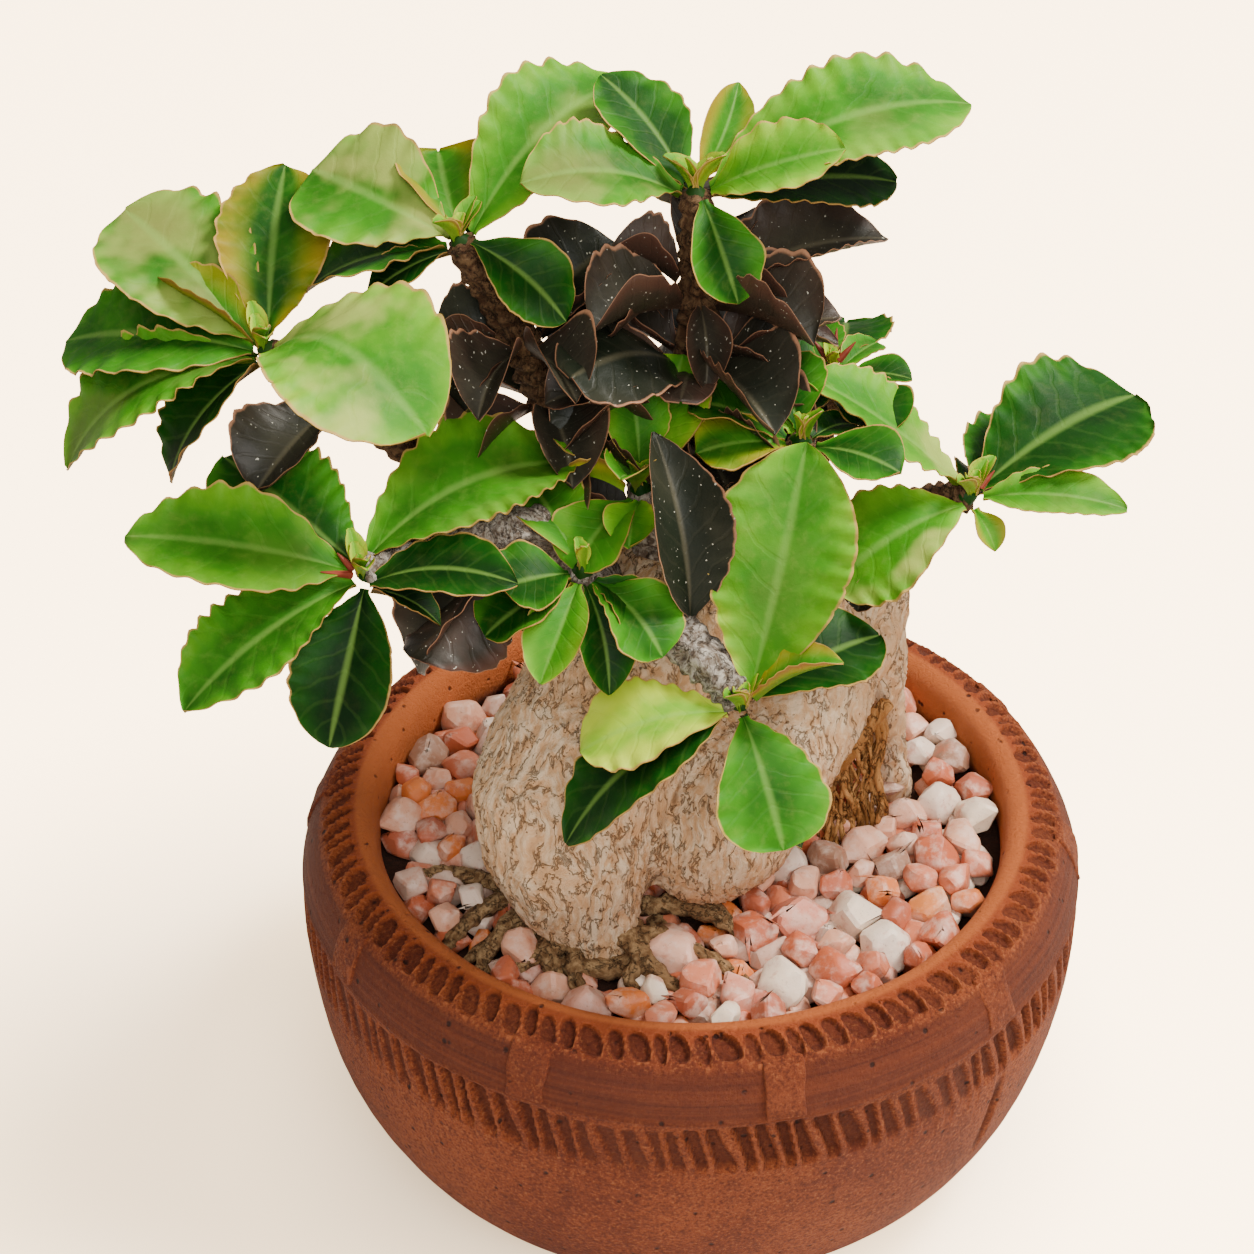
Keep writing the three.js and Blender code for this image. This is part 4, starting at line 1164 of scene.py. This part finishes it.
def blade(base, leaf, seed, crisp=1.0, wedge=0.95, boat=0.0):
    """Corners, faces and marks of one leaf. Its numbers are those of SHOOTS. The marks of a corner
    are its place across and along the leaf, and 1 on the underside. wedge is the sharpness of its
    base, and boat how far its sides turn up. Its tip is rounder, the broader it is."""
    length, width, heading, _, roll, arch, cup = leaf
    along = leaf_way(leaf)
    level = np.array([math.sin(math.radians(heading)), -math.cos(math.radians(heading)), 0])
    turn = np.array(Matrix.Rotation(math.radians(roll), 3, Vector(along)))
    across = turn @ level
    face = turn @ np.cross(level, along)
    waves = max(4, round(length / WAVE_LENGTH))
    rows = waves * 6
    s = np.linspace(0, 1, rows + 1)[:, None]
    u = np.array(LEAF_COLUMNS)[None, :]
    side = np.where(u < 0, seed % 3, seed % 5 + 1.7)
    phase = 2 * math.pi * (waves * s + 0.9 * np.sin(3 * s + side)) + side
    edge = np.abs(u)
    tip = float(np.clip(0.84 - 0.8 * (width / length - 0.45), 0.45, 0.84))
    widest = wedge / (wedge + tip)
    outline = (s / widest) ** wedge * ((1 - s) / (1 - widest)) ** tip
    swell = np.maximum(width / 2 * outline, LEAF_BASE)
    swell = np.where(s < 1, swell, 0.4)
    uneven = 0.75 + 0.45 * np.sin(11 * s + 2 * side) * np.sin(5 * s + seed)
    fade = np.clip(s * 5, 0, 1) * np.clip((1 - s) * 9, 0.35, 1) * crisp * uneven
    tooth = 1 - 0.058 * (1 - np.abs(np.cos(phase / 2)) ** 0.7) * edge**3 * fade
    reach = u * swell * tooth
    lift = 4 * s * (1 - s) * arch * length
    lift = lift + EDGE_WAVE * fade * edge**4 * np.cos(phase + 0.4) * min(1.1, (width / 28) ** 1.4)
    lift = lift + 1.1 * np.sin(2 * math.pi * (s * 1.3 + side * 0.3)) * edge**2 * min(1, width / 26)
    lift = lift + 0.16 * np.cos(2 * math.pi * (7 * s - 1.6 * edge)) * np.sin(math.pi * edge) * fade
    lift = lift - 0.45 * np.exp(-((u / 0.09) ** 2)) * (1 - s)
    sway = length * 0.035 * math.sin(seed * 3.7) * np.sin(math.pi * s)
    fold = math.radians(cup)
    out = reach * math.cos(fold) + sway
    up = lift + np.abs(reach) * math.sin(fold) * (0.45 + 0.75 * edge)
    up = up + boat * reach**2 / width
    chord = s * length + 0 * u
    top = base + chord[..., None] * along + out[..., None] * across + up[..., None] * face
    thick = BLADE * (1 - 0.45 * edge) + 0.7 * np.exp(-((u / 0.09) ** 2)) * (1 - s)
    under = top - (thick + 0 * s)[..., None] * face
    columns = len(LEAF_COLUMNS)
    corners = np.concatenate([top.reshape(-1, 3), under.reshape(-1, 3)])
    count = (rows + 1) * columns
    faces = []
    for i in range(rows):
        for k in range(columns - 1):
            a = i * columns + k
            quad = (a, a + 1, a + 1 + columns, a + columns)
            faces.append(quad)
            faces.append(tuple(count + c for c in reversed(quad)))
    ring = [k for k in range(columns)]
    ring += [i * columns + columns - 1 for i in range(1, rows + 1)]
    ring += [rows * columns + k for k in reversed(range(columns - 1))]
    ring += [i * columns for i in reversed(range(1, rows))]
    for a, b in zip(ring, ring[1:] + ring[:1]):
        faces.append((b, a, count + a, count + b))
    marks = np.zeros((len(corners), 3))
    marks[:, 0] = np.tile((u + 0 * s).ravel(), 2)
    marks[:, 1] = np.tile((s + 0 * u).ravel(), 2)
    marks[count:, 2] = 1
    return corners, faces, marks


def leafy(name, blades, knob, finish):
    """Joins leaves, each with its tint and cream, and the knob if there is one into one piece."""
    shapes, places, tints = [], [], []
    for (corners, faces, marks), tint, cream in blades:
        shapes.append((corners, faces))
        places.extend(marks)
        tints.extend([(tint, cream, chance(len(shapes) + tint), 1)] * len(corners))
    if knob:
        shapes.append(knob)
        places.extend([(0.5, 0.5, 0)] * len(knob[0]))
        tints.extend([(0.1, 0, 0.5, 1)] * len(knob[0]))
    piece = piece_of(name, shapes)
    move_to(piece, np.clip(coordinates(piece), np.array(cad_low) / MM, np.array(cad_high) / MM))
    mark_corners(piece, "place_on_leaf", [(p[0] * 0.5 + 0.5, p[1], p[2], 1) for p in places])
    mark_corners(piece, "leaf_tint", tints)
    piece.data.materials.append(finish)
    select_only(piece)
    bpy.ops.object.shade_smooth_by_angle(angle=math.radians(60))
    return piece


def ramp(tree, value, stops):
    """A colour from stops of position and colour code."""
    made = put(tree, "ShaderNodeValToRGB", {0: value})
    band = made.color_ramp
    while len(band.elements) < len(stops):
        band.elements.new(0.5)
    for element, (place, code) in zip(band.elements, stops):
        element.position = place
        element.color = colour(code)
    return made.outputs[0]


# Where a point lies on its leaf: from midrib to edge, along it and on which side, with the leaf's
# yellowness and cream, a soft cloud, and the tone that all this gives the ground colour.
leaf_marks, given, result = shader_group(
    "leaf_marks",
    {},
    {name: "Float" for name in ("Edge", "Along", "Underside", "Yellow", "Cream", "Cloud", "Tone")},
)
tree = leaf_marks
where = put(tree, "ShaderNodeAttribute", attribute_name="place_on_leaf").outputs["Vector"]
across, along, underside = put(tree, "ShaderNodeSeparateXYZ", {0: where}).outputs
tint = put(tree, "ShaderNodeAttribute", attribute_name="leaf_tint").outputs["Vector"]
yellow, cream, _ = put(tree, "ShaderNodeSeparateXYZ", {0: tint}).outputs
edge = maths(tree, "ABSOLUTE", times(tree, less(tree, across, 0.5), 2))
cloud = speckle(tree, own_place(tree), 75, 3)
shift = times(tree, less(tree, cloud, 0.5), 0.5)
shift = plus(tree, shift, ranged(tree, edge, 0.2, 1, -0.07, 0.16))
for value, socket in zip((edge, along, underside, yellow, cream, cloud), result):
    tree.links.new(value, socket)
tree.links.new(plus(tree, yellow, shift), result["Tone"])

# Leaf tissue: clouded ground colour, pale midrib and side veins, a thin rim, and a duller underside
# that shows where the edge curls.
leaf_tissue, given, result = shader_group(
    "leaf_tissue",
    {name: "Float" for name in ("Edge", "Along", "Underside", "Yellow", "Cream", "Cloud", "Dust")}
    | {name: "Color" for name in ("Ground", "Cloud Color", "Rim Color", "Under Color", "Rib Color")},
    {"Color": "Color", "Height": "Float"},
)
tree = leaf_tissue
place = own_place(tree)
edge, cloud = given["Edge"], given["Cloud"]
fine = speckle(tree, place, 330, 5, 0.65)
flow = less(tree, times(tree, given["Along"], 7), times(tree, edge, 1.6))
flow = plus(tree, flow, times(tree, cloud, 1.2))
vein = ranged(tree, maths(tree, "SINE", times(tree, flow, 2 * math.pi)), 0.75, 1.0)
clouded = ranged(tree, speckle(tree, place, 42, 3, 0.5), 0.47, 0.62)
clouded = times(tree, clouded, maths(tree, "MAXIMUM", given["Cream"], 0))
bronzed = times(tree, given["Cream"], ranged(tree, edge, 0.25, 0.95, 0, -0.85))
bronzed = maths(tree, "MAXIMUM", bronzed, 0)
bronzed = times(tree, bronzed, ranged(tree, cloud, 0.3, 0.55, 0.4, 1))
ground = mixed(tree, bronzed, given["Ground"], "b99a34")
base = mixed(tree, times(tree, clouded, 0.55), ground, given["Cloud Color"])
faded = times(tree, ranged(tree, fine, 0.45, 0.75, 0, 0.12), given["Yellow"])
base = mixed(tree, faded, base, given["Cloud Color"])
base = mixed(tree, times(tree, vein, 0.03), base, given["Rib Color"])
base = mixed(tree, ranged(tree, edge, 0.01, 0.11, 0.32, 0), base, given["Rib Color"])
rough_edge = plus(tree, edge, times(tree, less(tree, fine, 0.5), 0.06))
base = mixed(tree, ranged(tree, rough_edge, 0.94, 0.985, 0, 0.9), base, given["Rim Color"])
below = mixed(tree, ranged(tree, cloud, 0.4, 0.7, 0.1, 0.4), ground, given["Under Color"])
below = mixed(tree, ranged(tree, edge, 0.7, 0.98, 0, 0.8), below, given["Under Color"])
base = mixed(tree, given["Underside"], base, below)
specks = times(tree, ranged(tree, speckle(tree, place, 1100, 1), 0.72, 0.77), given["Dust"])
base = mixed(tree, specks, base, "e8e4d4")
tree.links.new(base, result["Color"])
tree.links.new(plus(tree, times(tree, vein, -0.2), times(tree, fine, 0.6)), result["Height"])


def leaf_material(name, stops, cloud, rim, under, rib, rough, shine, dust):
    """Leaf tissue with its ground colours from dark to yellow. Gives the material, its tree, its
    shader and the tissue's colour."""
    made, tree, shader = new_material(name)
    marks = put(tree, "ShaderNodeGroup", node_tree=leaf_marks).outputs
    values = {mark.name: mark for mark in marks if mark.name != "Tone"}
    values |= {"Ground": ramp(tree, marks["Tone"], stops), "Dust": dust}
    values |= {"Cloud Color": cloud, "Rim Color": rim, "Under Color": under, "Rib Color": rib}
    tissue = put(tree, "ShaderNodeGroup", values, node_tree=leaf_tissue).outputs
    tree.links.new(tissue["Color"], shader.inputs["Base Color"])
    shader.inputs["Roughness"].default_value = rough
    shader.inputs["Specular IOR Level"].default_value = shine
    tree.links.new(bumped(tree, tissue["Height"], 0.0005, 0.5), shader.inputs["Normal"])
    return made, tree, shader, tissue["Color"]


fresh_leaf, tree, shader, tissue_colour = leaf_material(
    "fresh_leaf",
    [(0.0, "1a3c1c"), (0.3, "2c6420"), (0.55, "569c2c"), (0.78, "88c234"), (1.0, "cfe648")],
    cloud="e4e48a",
    rim="d9b272",
    under="a5784c",
    rib="a8d070",
    rough=0.5,
    shine=0.12,
    dust=0,
)
# A little light passes through the fresh leaves.
thin = put(tree, "ShaderNodeBsdfTranslucent", {"Color": tissue_colour})
blend = put(tree, "ShaderNodeMixShader", {0: 0.1, 1: shader.outputs[0], 2: thin.outputs[0]})
tree.links.new(blend.outputs[0], tree.nodes["Material Output"].inputs["Surface"])

old_leaf, *_ = leaf_material(
    "old_leaf",
    [(0.0, "2a3628"), (0.4, "3c3f34"), (0.7, "4b463d"), (1.0, "624e44")],
    cloud="85806a",
    rim="c89a7c",
    under="6c5045",
    rib="8d866f",
    rough=0.42,
    shine=0.25,
    dust=0.8,
)


def growing_tip(name):
    """Tight young leaves that stand round a shoot's tip, each with its tint and cream, and the knob
    that they grow from."""
    centre, way, _ = along_stem(name, 1)
    blades = []
    for i in range(3 if name in SHORT_SHOOTS else 6):
        seed = len(name) * 3 + i
        heading = 137.5 * i + seed * 40
        rise = 70 - 7 * i + 12 * chance(seed)
        size = 5 + 0.9 * i
        leaf = (size * (0.9 + 0.4 * chance(seed + 3)), size * 0.62, heading, rise, 0, 0.08, 28)
        blades.append((blade(centre + way * 1.5, leaf, seed, 0.5), 0.62 + 0.3 * chance(seed + 5), 0))
    knob = limb_mesh([centre - way * 2, centre, centre + way * 2], (2.9, 2.8, 1.2), 14, 8)
    return blades, knob


def old_tier(name, share, seed, rows):
    """Old leaves that stand round a stem at a share of its length, each with its tint and cream."""
    centre, way, radius = along_stem(name, share)
    blades = []
    for k, (length, width, *rest) in enumerate(rows):
        leaf = (length * OLD_LONGER, width * OLD_WIDER, *rest)
        out = leaf_way(leaf)
        climb = out.dot(way)
        aside = out - way * climb
        start = centre + way * climb * OLD_SPREAD + aside / np.linalg.norm(aside) * radius
        tint = 0.1 + 0.85 * chance(seed + k * 2.3)
        blades.append((blade(start, leaf, seed + k * 2.3, crisp=0.8, wedge=0.7, boat=0.9), tint, 0.2))
    return blades


for index, (name, rows) in enumerate(GREEN_LEAVES.items()):
    centre, way, _ = along_stem(name, 1)
    blades, knob = growing_tip(name)
    wider = SHORT_WIDER if name in SHORT_SHOOTS else 1
    for k, (length, width, *rest, tint, cream) in enumerate(rows):
        leaf = (length + 1.2, width * wider, *rest)
        out = leaf_way(leaf)
        out = out - way * min(0, out.dot(way))
        start = centre + out / np.linalg.norm(out) * TIP_REACH
        blades.append((blade(start, leaf, index * 9 + k * 1.7 + 1), tint, cream))
    rosette = leafy(name + "_rosette", blades, knob, fresh_leaf)
    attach(rosette, "root")
    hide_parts(name + "_leaves")
    for bunch in (name, name + "_low"):
        if bunch not in OLD_LEAVES:
            continue
        blades = []
        for share, seed, old_rows in OLD_LEAVES[bunch]:
            blades += old_tier(name, share, seed, old_rows)
        withered = leafy(bunch + "_withered", blades, None, old_leaf)
        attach(withered, "root")
        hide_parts(bunch + "_old_leaves")


# SPIKES
# Small red-brown stipules, each a stiff pointed spike, beside the tips of three shoots.

# Each spike: its shoot, its heading and rise in degrees, and its length.
SPIKES = [
    ("right", 75, 35, 7),
    ("right", 20, 50, 5),
    ("lower_left", -150, 25, 8),
    ("lower_left", 160, 45, 5),
    ("back_right", 80, 60, 7),
    ("back_right", 10, 50, 6),
    ("back_right", 150, 45, 6),
]
spike_shapes = []
for name, heading, rise, length in SPIKES:
    centre, way, _ = along_stem(name, 1)
    out = leaf_way((0, 0, heading, rise))
    foot = centre + way * 2
    spike_path = [foot + out * 2, foot + out * (2 + length / 2), foot + out * (2 + length)]
    spike_shapes.append(limb_mesh(spike_path, (1, 0.7, 0.15), 8, 6))
spikes = piece_of("spikes", spike_shapes)
red_scale, tree, shader = new_material("red_scale")
place = own_place(tree)
reds = mixed(tree, speckle(tree, place, 300, 3), "7c2e1c", "b5583a")
tree.links.new(reds, shader.inputs["Base Color"])
shader.inputs["Roughness"].default_value = 0.6
spikes.data.materials.append(red_scale)
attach(spikes, "root")


# OVERALL SIZE
# The box of the finished pieces, as the box of the solids was found at the start.

low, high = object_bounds()
